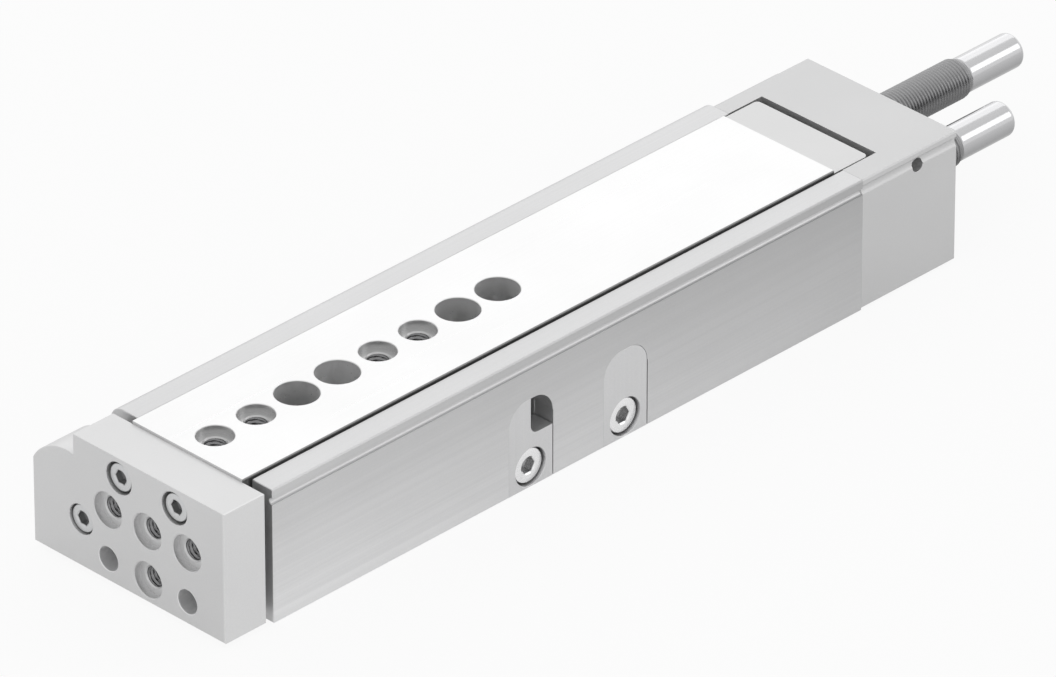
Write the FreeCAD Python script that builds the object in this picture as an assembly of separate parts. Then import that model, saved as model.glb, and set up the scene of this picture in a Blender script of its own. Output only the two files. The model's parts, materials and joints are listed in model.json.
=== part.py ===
# Compact pneumatic slide table: a ball-guided steel table is driven out of an aluminium housing
# by a cylinder beside it, and a shock absorber cushions each end of the stroke.
# Frame: +X is the way the table advances, +Z is up, z = 0 is the base face, y = 0 is the table's
# centre line, and x = 0 is the middle of the fixed body (housing and rear cap). Millimetres.
import FreeCAD
import Part
import math
import os

Vector = FreeCAD.Vector

# Fixed body
housing_length = 149.0
cap_length = 25.0
body_height = 27.5
right_face_y = 19.5
base_z = 0.0
cap_lift = 0.3
edge_chamfer = 0.3

# Rounded roof over the cylinder, on the left of the body
crown_radius = 9.35
crown_flat = 0.75
crown_drop = 4.55
left_rail_width = 3.95
cylinder_side_width = 10.8
shoulder_radius = 3.2

# Channel that the table runs in
table_width = 28.0
side_gap = 0.25
channel_depth = 8.9
under_gap = 0.7
table_proud = 0.5
flange_thickness = 3.0
table_edge_chamfer = 0.3

# Ball guide
ball_diameter = 3.0
ball_play = 0.1
ball_offset_y = 10.8
ball_rise = 3.0
raceway_gap = 1.4
rail_top_gap = 0.6
cage_thickness = 0.8
cage_web = 0.1
cage_end_gap = 0.6
ball_pitch = 13.0
cage_end_margin = 4.0

# Rack and pinion that keeps the ball cage at half the table's travel
gear_module = 0.4
pinion_teeth = 16
pressure_angle = 20.0
tooth_addendum = 0.30
tooth_dedendum = 0.40
tooth_backlash = 0.05
pinion_width = 1.6
pinion_from_front = 54.0
drive_from_balls = 4.2
drive_slot_width = 3.8
rack_back = 0.9
rack_end_gap = 0.27
axle_radius = 0.6
axle_play = 0.05
ear_thickness = 0.5
ear_height = 2.1
ear_length = 2.8
bridge_thickness = 0.4
bridge_side = 2.4
pinion_side_gap = 0.25

# Stroke and table
stroke = 80.0
yoke_gap = 1.8
yoke_thickness = 10.0
yoke_ground_gap = 1.0
yoke_plateau_y = -18.6
yoke_crown_extra = 0.5
yoke_ear_overlap = 4.0

# Hole grid in the table: the first hole is this far from the table's front end
first_hole_from_front = 6.8
hole_pitch = 10.0
hole_kinds = ("thread", "thread", "access", "access", "thread", "thread", "access", "access")
centring_radius = 3.5
centring_depth = 1.6
thread_m4_radius = 1.65
thread_m5_radius = 2.1
access_radius = 4.15

# Yoke face holes: the screws and the upper row hang from the top, the lower row stands on the base
yoke_screw_drop = 4.1
yoke_screw_y = 7.0
yoke_upper_drop = 12.0
yoke_lower_z = 5.5
yoke_hole_pitch = 10.0
yoke_plain_radius = 2.4
yoke_screw_pocket_play = 0.45
small_pocket_play = 0.25

# Socket head screws: shank radius, head radius, head height, key across flats, socket depth
m3_screw = (1.5, 2.75, 3.0, 2.5, 1.5)
m4_screw = (2.0, 3.5, 4.0, 3.0, 2.1)
screw_head_chamfer = 0.3
screw_fit = 0.05
screw_recess = 0.5
yoke_screw_length = 16.0
rod_screw_length = 14.0
block_screw_length = 14.0
cap_screw_length = 30.0
insert_screw_length = 10.0
block_screw_drop = 4.5
block_screw_y = 6.5
crown_screw_side = 4.0
crown_screw_rise = 1.4
cap_screw_low_ys = (-5.0, 16.0)
cap_screw_low_zs = (5.0, 5.5)

# Rear stop block, and the trough below the channel that its lower lobe runs in
block_length = 9.0
block_rear_gap = 1.6
block_corner_radius = 1.0
run_gap = 0.3
trough_left_reach = 3.0
trough_left_depth = 6.0
lobe_side_room = 0.7
lobe_step_room = 0.5
lobe_floor_room = 1.4
trough_end_gap = 1.0

# Shock absorbers: the advance one rides on the stop block, the retract one sits in the rear cap
absorber_depth = 3.6
advance_absorber_y = 7.7
retract_absorber_y = -8.3
absorber_thread_radius = 4.0
absorber_thread_length = 37.7
absorber_thread_taper = 1.4
absorber_tail_radius = 3.5
absorber_tail_length = 14.3
absorber_tail_chamfer = 0.6
absorber_key = 3.0
absorber_key_depth = 2.0
absorber_fit = 0.05
absorber_clearance = 0.5
sleeve_radius = 3.4
advance_sleeve_length = 3.45
retract_sleeve_length = 10.5
plunger_radius = 1.5
plunger_fit = 0.06
plunger_travel = 8.0
plunger_guided = 6.0
plunger_tip_chamfer = 0.4
plunger_bore_spare = 0.8

# Side inserts: one carries the advance stop, the other closes the spare stop position
insert_spacing = 24.0
insert_width = 11.0
insert_top_gap = 0.3
insert_top_radius = 4.6
insert_plate_thickness = 4.7
insert_foot_y = 11.0
insert_foot_drop = 1.0
insert_tongue_y = 4.8
insert_tongue_drop = 1.1
insert_fit = 0.05
insert_screw_z = 4.1
insert_screw_recess = 0.6
insert_pocket_play = 0.35
window_sill = 1.2
window_corner_radius = 1.8

# Cylinder
bore_radius = 5.0
bore_from_crown = 3.5
bore_drop = 3.0
rod_radius = 2.5
rod_fit = 0.04
rod_spigot_radius = 1.5
plug_length = 6.0
plug_fit = 0.02
chamber_gap = 4.4
piston_length = 15.5
piston_fit = 0.1
piston_groove_depth = 1.15
piston_ring_fit = 0.04
piston_seal_width = 1.8
magnet_width = 2.8
guide_ring_width = 2.2
piston_land = 0.7
nut_flats = 5.5
nut_height = 2.4
nut_recess_play = 0.125
nut_recess_depth = 2.8
head_seat_depth = 20.0
head_seat_radius = 4.2
head_throat_radius = 3.0
bush_length = 10.0
rod_seal_length = 4.0
retainer_length = 3.0
snap_ring_thickness = 0.8
snap_groove_depth = 0.5
ring_fit = 0.02
plug_seal_section = 1.5
port_radius = thread_m5_radius

# Outside details
side_groove_drop = 2.25
side_groove_radius = 0.75
cap_groove_radius = 1.3
cap_groove_depth = 0.5
cap_side_hole_drop = 2.95
cap_side_hole_from_joint = 14.6
cap_side_hole_radius = 1.35
cap_side_hole_depth = 4.0
sensor_slot_z = 4.6
sensor_slot_mouth = 2.6
sensor_slot_radius = 2.0
sensor_slot_depth = 4.2
base_counterbore_radius = 3.8
base_hole_radius = 2.15
base_hole_pitch = 40.0
base_counterbore_floor_z = 5.0

# A cut runs this far past the face it starts from
cut_over = 1.0

# Places along the travel, all worked out from the sizes above
body_length = housing_length + cap_length
housing_front_x = body_length / 2
joint_x = housing_front_x - housing_length
cap_rear_x = joint_x - cap_length
yoke_back_x = housing_front_x + yoke_gap
yoke_front_x = yoke_back_x + yoke_thickness
table_rear_x = yoke_back_x - housing_length
block_rear_x = table_rear_x - block_length
pocket_rear_x = block_rear_x - block_rear_gap
stop_face_x = table_rear_x + advance_sleeve_length + stroke
stop_insert_x = stop_face_x
blank_insert_x = stop_insert_x - insert_spacing
plug_front_x = joint_x + plug_length
piston_rear_x = plug_front_x + chamber_gap
piston_front_x = piston_rear_x + piston_length
bore_front_x = piston_front_x + stroke + chamber_gap
seat_rear_x = housing_front_x - head_seat_depth
cage_rear_x = table_rear_x + stroke / 2 + cage_end_gap
cage_front_x = housing_front_x - stroke / 2 - cage_end_gap
pinion_x = housing_front_x - pinion_from_front

# Heights, which all follow the body's top, and places across the body
table_top_z = body_height + table_proud
flange_bottom_z = table_top_z - flange_thickness
channel_floor_z = body_height - channel_depth
table_underside_z = channel_floor_z + under_gap
ball_centre_z = channel_floor_z + ball_rise
absorber_z = channel_floor_z - absorber_depth
trough_left_floor_z = channel_floor_z - trough_left_depth
trough_right_floor_z = absorber_z - absorber_thread_radius - lobe_floor_room
trough_left_y = retract_absorber_y - trough_left_reach
trough_step_y = advance_absorber_y - absorber_thread_radius - lobe_step_room
trough_right_y = advance_absorber_y + absorber_thread_radius + lobe_side_room
insert_top_z = channel_floor_z - insert_top_gap
insert_tongue_top_z = insert_top_z - insert_tongue_drop
insert_foot_top_z = trough_right_floor_z - insert_foot_drop
window_floor_z = trough_right_floor_z + window_sill
side_groove_z = body_height - side_groove_drop
cap_side_hole_z = body_height - cap_side_hole_drop
table_half = table_width / 2
channel_half = table_half + side_gap
left_rail_y = -channel_half - left_rail_width
left_face_y = left_rail_y - cylinder_side_width
shoulder_wall_y = left_rail_y - shoulder_radius
crown_centre_y = left_face_y - crown_flat + crown_radius
crown_centre_z = body_height - crown_drop - crown_radius
bore_y = crown_centre_y + bore_from_crown
bore_z = crown_centre_z - bore_drop
ball_radius = ball_diameter / 2
raceway_radius = ball_radius + ball_play
table_body_half = ball_offset_y - raceway_gap / 2
rail_inner_y = ball_offset_y + raceway_gap / 2
rail_top_z = flange_bottom_z - rail_top_gap
cage_height = 2 * (raceway_radius + cage_web)
drive_y = drive_from_balls - ball_offset_y
pitch_radius = gear_module * pinion_teeth / 2
tip_radius = pitch_radius + tooth_addendum
tooth_pitch = math.pi * gear_module
yoke_screw_pocket_radius = m3_screw[1] + yoke_screw_pocket_play
small_pocket_radius = m3_screw[1] + small_pocket_play
insert_pocket_radius = m4_screw[1] + insert_pocket_play
nut_recess_radius = nut_flats / math.sqrt(3) + nut_recess_play
rack_reach = tip_radius + rack_end_gap
pinion_z = (channel_floor_z + table_underside_z) / 2
lower_pitch_z = pinion_z - pitch_radius
upper_pitch_z = pinion_z + pitch_radius
lower_slot_z = lower_pitch_z - tooth_dedendum - rack_back
upper_slot_z = upper_pitch_z + tooth_dedendum + rack_back
hole_xs = [yoke_back_x - first_hole_from_front - hole_pitch * i for i in range(len(hole_kinds))]
access_xs = [x for x, kind in zip(hole_xs, hole_kinds) if kind == "access"]
base_screw_xs = [access_xs[0] - base_hole_pitch * i for i in range(3)]
base_thread_xs = access_xs[1::2]

# Holes in the end faces, as (y, z)
yoke_screw_places = [(side * yoke_screw_y, body_height - yoke_screw_drop) for side in (-1, 1)]
yoke_upper_z = body_height - yoke_upper_drop
yoke_thread_places = [(side * yoke_hole_pitch, yoke_upper_z) for side in (-1, 0, 1)] + [(0, yoke_lower_z)]
yoke_plain_places = [(side * yoke_hole_pitch, yoke_lower_z) for side in (-1, 1)]
block_screw_places = [(side * block_screw_y, body_height - block_screw_drop) for side in (-1, 1)]
cap_screw_places = [(crown_centre_y - crown_screw_side, crown_centre_z + crown_screw_rise)]
cap_screw_places += list(zip(cap_screw_low_ys, cap_screw_low_zs))


def box(x0, x1, y0, y1, z0, z1):
    return Part.makeBox(x1 - x0, y1 - y0, z1 - z0, Vector(x0, y0, z0))


def rod_x(x0, x1, y, z, radius):
    return Part.makeCylinder(radius, x1 - x0, Vector(x0, y, z), Vector(1, 0, 0))


def rod_y(x, y0, y1, z, radius):
    return Part.makeCylinder(radius, y1 - y0, Vector(x, y0, z), Vector(0, 1, 0))


def rod_z(x, y, z0, z1, radius):
    return Part.makeCylinder(radius, z1 - z0, Vector(x, y, z0), Vector(0, 0, 1))


def ring_x(x0, x1, y, z, inner, outer):
    return rod_x(x0, x1, y, z, outer).cut(rod_x(x0, x1, y, z, inner))


def cone_x(x0, x1, y, z, radius0, radius1):
    return Part.makeCone(radius0, radius1, x1 - x0, Vector(x0, y, z), Vector(1, 0, 0))


def joined(shapes):
    """One solid from shapes that overlap or share faces."""
    return shapes[0].fuse(list(shapes[1:])).removeSplitter()


def outline(points):
    """A closed wire. Each item is a point, or a pair (through, end) for an arc from the last point."""
    edges = []
    last = points[0]
    for item in list(points[1:]) + [points[0]]:
        if isinstance(item, tuple):
            through, end = item
            edges.append(Part.Arc(last, through, end).toShape())
            last = end
        elif item.distanceToPoint(last) > 1e-6:
            edges.append(Part.LineSegment(last, item).toShape())
            last = item
    return Part.Wire(edges)


def prism(points, sweep):
    return Part.Face(outline(points)).extrude(sweep)


def circle_point(y, z, radius, angle):
    """The point of a circle in the YZ plane, with the angle from +Y towards +Z."""
    return Vector(0, y + radius * math.cos(angle), z + radius * math.sin(angle))


def arc_about(y, z, radius, start, end):
    return (circle_point(y, z, radius, (start + end) / 2), circle_point(y, z, radius, end))


def hexagon_x(x0, x1, y, z, across_flats):
    corner = across_flats / math.sqrt(3)
    points = [circle_point(y, z, corner, math.radians(60 * i)) for i in range(6)]
    solid = prism(points, Vector(x1 - x0, 0, 0))
    solid.translate(Vector(x0, 0, 0))
    return solid


def edges_on_x(shape, x):
    """The edges of a shape that lie wholly in the plane at x."""
    return [e for e in shape.Edges if abs(e.BoundBox.XMin - x) < 1e-6 and abs(e.BoundBox.XMax - x) < 1e-6]


def cap_screw(size, length):
    """A socket head screw: its head's top is at the origin and faces +X, its shank points to -X."""
    shank_radius, head_radius, head_height, key, socket_depth = size
    head = rod_x(-head_height, 0, 0, 0, head_radius)
    head = head.makeChamfer(screw_head_chamfer, edges_on_x(head, 0))
    shank = rod_x(-head_height - length, -head_height, 0, 0, shank_radius)
    return joined([head, shank]).cut(hexagon_x(-socket_depth, cut_over, 0, 0, key))


def placed(shape, x, y, z, turn=0):
    """A copy turned about +Z by whole degrees and moved to its place."""
    copy = shape.copy()
    copy.rotate(Vector(0, 0, 0), Vector(0, 0, 1), turn)
    copy.translate(Vector(x, y, z))
    return copy


def screw_cut(size, length, pocket_radius, recess):
    """The pocket and the hole that a screw needs, in the screw's own frame."""
    shank_radius, head_height = size[0], size[2]
    pocket = rod_x(-head_height, recess + cut_over, 0, 0, pocket_radius)
    return joined([pocket, rod_x(-head_height - length - screw_fit, 0, 0, 0, shank_radius + screw_fit)])


def crown_angle_at_y(y, radius):
    """Where the crown's circle meets the vertical line at y, on its upper half."""
    return math.acos((y - crown_centre_y) / radius)


def body_outline(bottom_z, rounded_shoulder):
    """The section of the housing or the rear cap in the YZ plane, without the channel."""
    chamfer = edge_chamfer
    points = [
        Vector(0, right_face_y - chamfer, bottom_z),
        Vector(0, right_face_y, bottom_z + chamfer),
        Vector(0, right_face_y, body_height - chamfer),
        Vector(0, right_face_y - chamfer, body_height),
    ]
    if rounded_shoulder:
        points.append(Vector(0, left_rail_y, body_height))
        points.append(
            arc_about(left_rail_y, body_height - shoulder_radius, shoulder_radius, math.pi / 2, math.pi)
        )
        wall_y = shoulder_wall_y
    else:
        points.append(Vector(0, left_rail_y, body_height))
        wall_y = left_rail_y
    start = crown_angle_at_y(wall_y, crown_radius)
    end = crown_angle_at_y(left_face_y, crown_radius)
    points.append(circle_point(crown_centre_y, crown_centre_z, crown_radius, start))
    points.append(arc_about(crown_centre_y, crown_centre_z, crown_radius, start, end))
    points.append(Vector(0, left_face_y, bottom_z + chamfer))
    points.append(Vector(0, left_face_y + chamfer, bottom_z))
    return points


def extruded_x(points, x0, x1):
    solid = prism(points, Vector(x1 - x0, 0, 0))
    solid.translate(Vector(x0, 0, 0))
    return solid


def table_passage(x0, x1):
    """The channel, open at the top."""
    return box(x0, x1, -channel_half, channel_half, channel_floor_z, body_height + cut_over)


def block_passage(x0, x1):
    """The trough below the channel for the stop block's lobe."""
    left = box(x0, x1, trough_left_y, trough_right_y, trough_left_floor_z, channel_floor_z + cut_over)
    right = box(x0, x1, trough_step_y, trough_right_y, trough_right_floor_z, channel_floor_z + cut_over)
    return joined([left, right])


def tombstone(x, y0, y1, width, top_z, corner_radius, bottom_z):
    """An upright slab with a nearly full-round top, seen along Y."""
    half = width / 2
    low_z = top_z - corner_radius
    inner = half - corner_radius
    middle = corner_radius * math.sqrt(0.5)
    points = [
        Vector(x - half, y0, bottom_z),
        Vector(x - half, y0, low_z),
        (Vector(x - inner - middle, y0, low_z + middle), Vector(x - inner, y0, top_z)),
        Vector(x + inner, y0, top_z),
        (Vector(x + inner + middle, y0, low_z + middle), Vector(x + half, y0, low_z)),
        Vector(x + half, y0, bottom_z),
    ]
    return prism(points, Vector(0, y1 - y0, 0))


def insert_blank_solid(x, grow, tongue):
    """The body of a side insert, or with grow the pocket that it fits in."""
    half = insert_width / 2 + grow
    plate_inner_y = right_face_y - insert_plate_thickness
    bottom_z = base_z - (cut_over if grow else 0)
    outer_y = right_face_y + (cut_over if grow else 0)
    solids = [
        tombstone(x, plate_inner_y - grow, outer_y, insert_width + 2 * grow, insert_top_z + grow,
                  insert_top_radius + grow, bottom_z),
        box(x - half, x + half, insert_foot_y - grow, plate_inner_y, bottom_z, insert_foot_top_z + grow),
    ]
    if tongue:
        solids.append(box(x - half, x + half, insert_tongue_y - grow, plate_inner_y,
                          insert_foot_top_z - grow, insert_tongue_top_z + grow))
    return joined(solids)


def insert_screw_place(x):
    return (x, right_face_y - insert_screw_recess, insert_screw_z)


def insert_screw_hole(x):
    cut = screw_cut(m4_screw, insert_screw_length, insert_pocket_radius, insert_screw_recess)
    return placed(cut, *insert_screw_place(x), 90)


def stop_insert():
    """The insert with the advance stop face, and the window that shows it."""
    solid = insert_blank_solid(stop_insert_x, 0, True)
    x0 = stop_insert_x - insert_width / 2 - cut_over
    plate_inner_y = right_face_y - insert_plate_thickness
    radius = window_corner_radius
    middle = radius * (1 - math.sqrt(0.5))
    top_z = insert_top_z + cut_over
    window = prism(
        [
            Vector(x0, plate_inner_y, window_floor_z),
            Vector(x0, plate_inner_y, top_z),
            Vector(stop_face_x, plate_inner_y, top_z),
            Vector(stop_face_x, plate_inner_y, window_floor_z + radius),
            (
                Vector(stop_face_x - middle, plate_inner_y, window_floor_z + middle),
                Vector(stop_face_x - radius, plate_inner_y, window_floor_z),
            ),
        ],
        Vector(0, insert_plate_thickness + cut_over, 0),
    )
    lobe_way = box(x0, stop_face_x, insert_tongue_y - cut_over, plate_inner_y, trough_right_floor_z, top_z)
    return solid.cut([window, lobe_way, insert_screw_hole(stop_insert_x)])


def blank_insert():
    """The insert that closes the spare stop position."""
    return insert_blank_solid(blank_insert_x, 0, False).cut(insert_screw_hole(blank_insert_x))


def insert_screw(x):
    return placed(cap_screw(m4_screw, insert_screw_length), *insert_screw_place(x), 90)


def sensor_slot():
    """A C-shaped slot along the left face for a cylinder switch."""
    centre_y = left_face_y + sensor_slot_depth - sensor_slot_radius
    half = sensor_slot_mouth / 2
    x0, x1 = joint_x - cut_over, housing_front_x + cut_over
    mouth = box(x0, x1, left_face_y - cut_over, centre_y, sensor_slot_z - half, sensor_slot_z + half)
    return joined([mouth, rod_x(x0, x1, centre_y, sensor_slot_z, sensor_slot_radius)])


def air_port(x):
    return rod_y(x, left_face_y - cut_over, bore_y, bore_z, port_radius)


def drive_slot(x0, x1, z0, z1):
    half = drive_slot_width / 2
    return box(x0, x1, drive_y - half, drive_y + half, z0, z1)


def lower_rack_span():
    return pinion_x - rack_reach, pinion_x + stroke / 2 + rack_reach


def upper_rack_span():
    return pinion_x - stroke / 2 - rack_reach, pinion_x + rack_reach


def base_holes():
    """Screw holes that are reached through the table, and threads from below."""
    cuts = []
    for x in base_screw_xs:
        cuts.append(rod_z(x, 0, base_counterbore_floor_z, channel_floor_z + cut_over, base_counterbore_radius))
        cuts.append(rod_z(x, 0, base_z - cut_over, channel_floor_z, base_hole_radius))
        cuts.append(rod_z(x, 0, base_z - cut_over, base_z + centring_depth, centring_radius))
    for x in base_thread_xs:
        cuts.append(rod_z(x, 0, base_z - cut_over, channel_floor_z + cut_over, thread_m5_radius))
    return cuts


def cylinder_cuts():
    """Bore, rod throat, seat of the rod's bush and seal, snap ring groove and air ports."""
    ring_x0 = housing_front_x - head_seat_depth + bush_length + rod_seal_length + retainer_length
    return [
        rod_x(joint_x - cut_over, bore_front_x, bore_y, bore_z, bore_radius),
        rod_x(bore_front_x - cut_over, seat_rear_x + cut_over, bore_y, bore_z, head_throat_radius),
        rod_x(seat_rear_x, housing_front_x + cut_over, bore_y, bore_z, head_seat_radius),
        rod_x(ring_x0, ring_x0 + snap_ring_thickness, bore_y, bore_z, head_seat_radius + snap_groove_depth),
        air_port(plug_front_x + chamber_gap / 2),
        air_port(bore_front_x - chamber_gap / 2),
    ]


def cap_screw_cuts():
    """Holes of the rear cap's screws, through the cap and into the housing."""
    cut = screw_cut(m3_screw, cap_screw_length, small_pocket_radius, screw_recess)
    return [placed(cut, cap_rear_x + screw_recess, y, z, 180) for y, z in cap_screw_places]


def housing():
    solid = extruded_x(body_outline(base_z, True), joint_x, housing_front_x)
    x0, x1 = lower_rack_span()
    cuts = [
        table_passage(joint_x - cut_over, housing_front_x + cut_over),
        block_passage(joint_x - cut_over, table_rear_x + stroke + trough_end_gap),
        box(stop_face_x - insert_width, stop_face_x + run_gap, trough_step_y, trough_right_y,
            trough_right_floor_z, channel_floor_z + cut_over),
        drive_slot(x0, x1, lower_slot_z, channel_floor_z + cut_over),
        rod_x(joint_x - cut_over, housing_front_x + cut_over, right_face_y, side_groove_z, side_groove_radius),
        sensor_slot(),
    ]
    for x in (stop_insert_x, blank_insert_x):
        cuts.append(insert_blank_solid(x, insert_fit, True))
        cuts.append(insert_screw_hole(x))
    return solid.cut(cuts + base_holes() + cylinder_cuts() + cap_screw_cuts())


def rear_cap():
    solid = extruded_x(body_outline(base_z + cap_lift, False), cap_rear_x, joint_x)
    groove_y = right_face_y + cap_groove_radius - cap_groove_depth
    hole_x = joint_x - cap_side_hole_from_joint
    cuts = [
        table_passage(pocket_rear_x, joint_x + cut_over),
        block_passage(pocket_rear_x, joint_x + cut_over),
        rod_x(cap_rear_x - cut_over, joint_x + cut_over, groove_y, side_groove_z, cap_groove_radius),
        rod_y(hole_x, right_face_y - cap_side_hole_depth, right_face_y + cut_over, cap_side_hole_z,
              cap_side_hole_radius),
        rod_x(cap_rear_x - cut_over, pocket_rear_x + cut_over, advance_absorber_y, absorber_z,
              absorber_thread_radius + absorber_clearance),
        rod_x(cap_rear_x - cut_over, joint_x + cut_over, retract_absorber_y, absorber_z,
              absorber_thread_radius + absorber_fit),
    ]
    return solid.cut(cuts + cap_screw_cuts())


def rear_cap_screws():
    screw = cap_screw(m3_screw, cap_screw_length)
    return [placed(screw, cap_rear_x + screw_recess, y, z, 180) for y, z in cap_screw_places]


def raceway(x0, x1, side):
    return rod_x(x0, x1, side * ball_offset_y, ball_centre_z, raceway_radius)


def guide_rail(side):
    """A hardened strip with a raceway, seated in the corner of the channel."""
    y0, y1 = sorted((side * rail_inner_y, side * channel_half))
    strip = box(joint_x, housing_front_x, y0, y1, channel_floor_z, rail_top_z)
    return strip.cut(raceway(joint_x - cut_over, housing_front_x + cut_over, side))


def rack(x0, x1, pitch_z, up, phase):
    """A toothed strip. Its teeth point up or down, and phase is in pitches from the pinion's axis."""
    sense = 1 if up else -1
    slope = math.tan(math.radians(pressure_angle))
    half = tooth_pitch / 4 - tooth_backlash / 2
    tip_half = half - tooth_addendum * slope
    root_half = half + tooth_dedendum * slope
    tip_z = pitch_z + sense * tooth_addendum
    root_z = pitch_z - sense * tooth_dedendum
    back_z = root_z - sense * rack_back
    half_width = drive_slot_width / 2 - screw_fit
    y = drive_y - half_width
    points = [Vector(x0, y, back_z), Vector(x0, y, root_z)]
    first = math.ceil((x0 + root_half - pinion_x) / tooth_pitch - phase)
    last = math.floor((x1 - root_half - pinion_x) / tooth_pitch - phase)
    for i in range(first, last + 1):
        centre = pinion_x + (i + phase) * tooth_pitch
        points += [
            Vector(centre - root_half, y, root_z),
            Vector(centre - tip_half, y, tip_z),
            Vector(centre + tip_half, y, tip_z),
            Vector(centre + root_half, y, root_z),
        ]
    points += [Vector(x1, y, root_z), Vector(x1, y, back_z)]
    return prism(points, Vector(0, 2 * half_width, 0))


def cage_rack_lower():
    """The fixed rack. An odd pinion has a gap straight down, so this rack then has a tooth there."""
    x0, x1 = lower_rack_span()
    phase = (pinion_teeth + 1) % 2 / 2
    return rack(x0 + screw_fit, x1 - screw_fit, lower_pitch_z, True, phase)


def cage_rack_upper():
    x0, x1 = upper_rack_span()
    return rack(x0 + screw_fit, x1 - screw_fit, upper_pitch_z, False, 0.5)


def involute(angle):
    return math.tan(angle) - angle


def cage_pinion():
    """A spur pinion whose axis runs along Y, with one tooth straight up."""
    base_radius = pitch_radius * math.cos(math.radians(pressure_angle))
    root_radius = pitch_radius - tooth_dedendum
    half_at_pitch = (tooth_pitch / 4 - tooth_backlash / 2) / pitch_radius
    half_at_base = half_at_pitch + involute(math.radians(pressure_angle))
    half_at_tip = half_at_base - involute(math.acos(base_radius / tip_radius))
    y = drive_y - pinion_width / 2

    def at(radius, angle):
        return Vector(pinion_x + radius * math.sin(angle), y, pinion_z + radius * math.cos(angle))

    points = []
    for i in range(pinion_teeth):
        middle = 2 * math.pi * i / pinion_teeth
        points += [
            at(root_radius, middle - half_at_base),
            at(base_radius, middle - half_at_base),
            at(tip_radius, middle - half_at_tip),
            at(tip_radius, middle + half_at_tip),
            at(base_radius, middle + half_at_base),
            at(root_radius, middle + half_at_base),
        ]
    gear = prism(points, Vector(0, pinion_width, 0))
    bore = rod_y(pinion_x, y - cut_over, y + pinion_width + cut_over, pinion_z, axle_radius + axle_play)
    return gear.cut(bore)


def ear_ys():
    """The inner and outer y of the two ears that hold the pinion's axle."""
    inner = pinion_width / 2 + pinion_side_gap
    outer = inner + ear_thickness
    return (drive_y - outer, drive_y - inner), (drive_y + inner, drive_y + outer)


def ball_xs():
    span = cage_front_x - cage_rear_x - 2 * cage_end_margin
    count = int(span / ball_pitch) + 1
    start = (cage_rear_x + cage_front_x - (count - 1) * ball_pitch) / 2
    return [start + ball_pitch * i for i in range(count)]


def ball_cage():
    """Two pierced strips joined by a bridge under the table, with ears for the pinion's axle."""
    low_z = pinion_z - bridge_thickness / 2
    strip_z0 = ball_centre_z - cage_height / 2
    half_bridge = tip_radius + bridge_side
    outer_y = ball_offset_y + cage_thickness / 2
    inner_y = ball_offset_y - cage_thickness / 2
    solids = [box(pinion_x - half_bridge, pinion_x + half_bridge, -outer_y, outer_y, low_z,
                  low_z + bridge_thickness)]
    for side in (-1, 1):
        y0, y1 = sorted((side * inner_y, side * outer_y))
        solids.append(box(cage_rear_x, cage_front_x, y0, y1, strip_z0, strip_z0 + cage_height))
        solids.append(box(pinion_x - half_bridge, pinion_x + half_bridge, y0, y1, low_z, strip_z0 + cut_over))
    for y0, y1 in ear_ys():
        solids.append(box(pinion_x - ear_length / 2, pinion_x + ear_length / 2, y0, y1,
                          pinion_z - ear_height / 2, pinion_z + ear_height / 2))
    half_opening = tip_radius + pinion_side_gap
    (_, opening_y0), (opening_y1, _) = ear_ys()
    cuts = [box(pinion_x - half_opening, pinion_x + half_opening, opening_y0, opening_y1,
                low_z - cut_over, low_z + cut_over),
            rod_y(pinion_x, ear_ys()[0][0] - cut_over, ear_ys()[1][1] + cut_over, pinion_z,
                  axle_radius + ring_fit)]
    for x in ball_xs():
        cuts.append(rod_y(x, -outer_y - cut_over, outer_y + cut_over, ball_centre_z, raceway_radius))
    return joined(solids).cut(cuts)


def guide_balls():
    return [Part.makeSphere(ball_radius, Vector(x, side * ball_offset_y, ball_centre_z))
            for side in (-1, 1) for x in ball_xs()]


def pinion_axle():
    return rod_y(pinion_x, ear_ys()[0][0], ear_ys()[1][1], pinion_z, axle_radius)


def rod_bearing_bush():
    return ring_x(seat_rear_x, seat_rear_x + bush_length, bore_y, bore_z, rod_radius + rod_fit,
                  head_seat_radius - ring_fit)


def rod_seal():
    """A lip seal: its back is full, and the lip's mouth opens towards the pressure."""
    x0 = seat_rear_x + bush_length
    x1 = x0 + rod_seal_length
    inner = rod_radius + rod_fit
    outer = head_seat_radius - ring_fit
    body = ring_x(x0, x1, bore_y, bore_z, inner, outer)
    quarter = (outer - inner) / 4
    mouth = ring_x(x0 - cut_over, x0 + rod_seal_length / 2, bore_y, bore_z, inner + quarter, outer - quarter)
    return body.cut(mouth)


def seal_retainer():
    x0 = seat_rear_x + bush_length + rod_seal_length
    return ring_x(x0, x0 + retainer_length, bore_y, bore_z, rod_radius + rod_fit, head_seat_radius - ring_fit)


def snap_ring():
    """A split ring that holds the retainer, with its gap at the top."""
    x0 = seat_rear_x + bush_length + rod_seal_length + retainer_length
    outer = head_seat_radius + snap_groove_depth - ring_fit
    ring = ring_x(x0, x0 + snap_ring_thickness, bore_y, bore_z, head_seat_radius - snap_groove_depth, outer)
    gap = box(x0 - cut_over, x0 + cut_over * 2, bore_y - snap_groove_depth, bore_y + snap_groove_depth,
              bore_z, bore_z + outer + cut_over)
    return ring.cut(gap)


def cylinder_end_plug():
    """The plug that closes the bore at the rear, held by the rear cap."""
    radius = bore_radius - plug_fit
    middle = joint_x + plug_length / 2
    groove = ring_x(middle - plug_seal_section / 2, middle + plug_seal_section / 2,
                    bore_y, bore_z, bore_radius - plug_seal_section, bore_radius + cut_over)
    return rod_x(joint_x, plug_front_x, bore_y, bore_z, radius).cut(groove)


def end_plug_seal():
    """A ring of square section that seals the plug in the bore."""
    middle = joint_x + plug_length / 2
    half = plug_seal_section / 2 - ring_fit
    return ring_x(middle - half, middle + half, bore_y, bore_z, bore_radius - plug_seal_section + ring_fit,
                  bore_radius - ring_fit)


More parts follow.
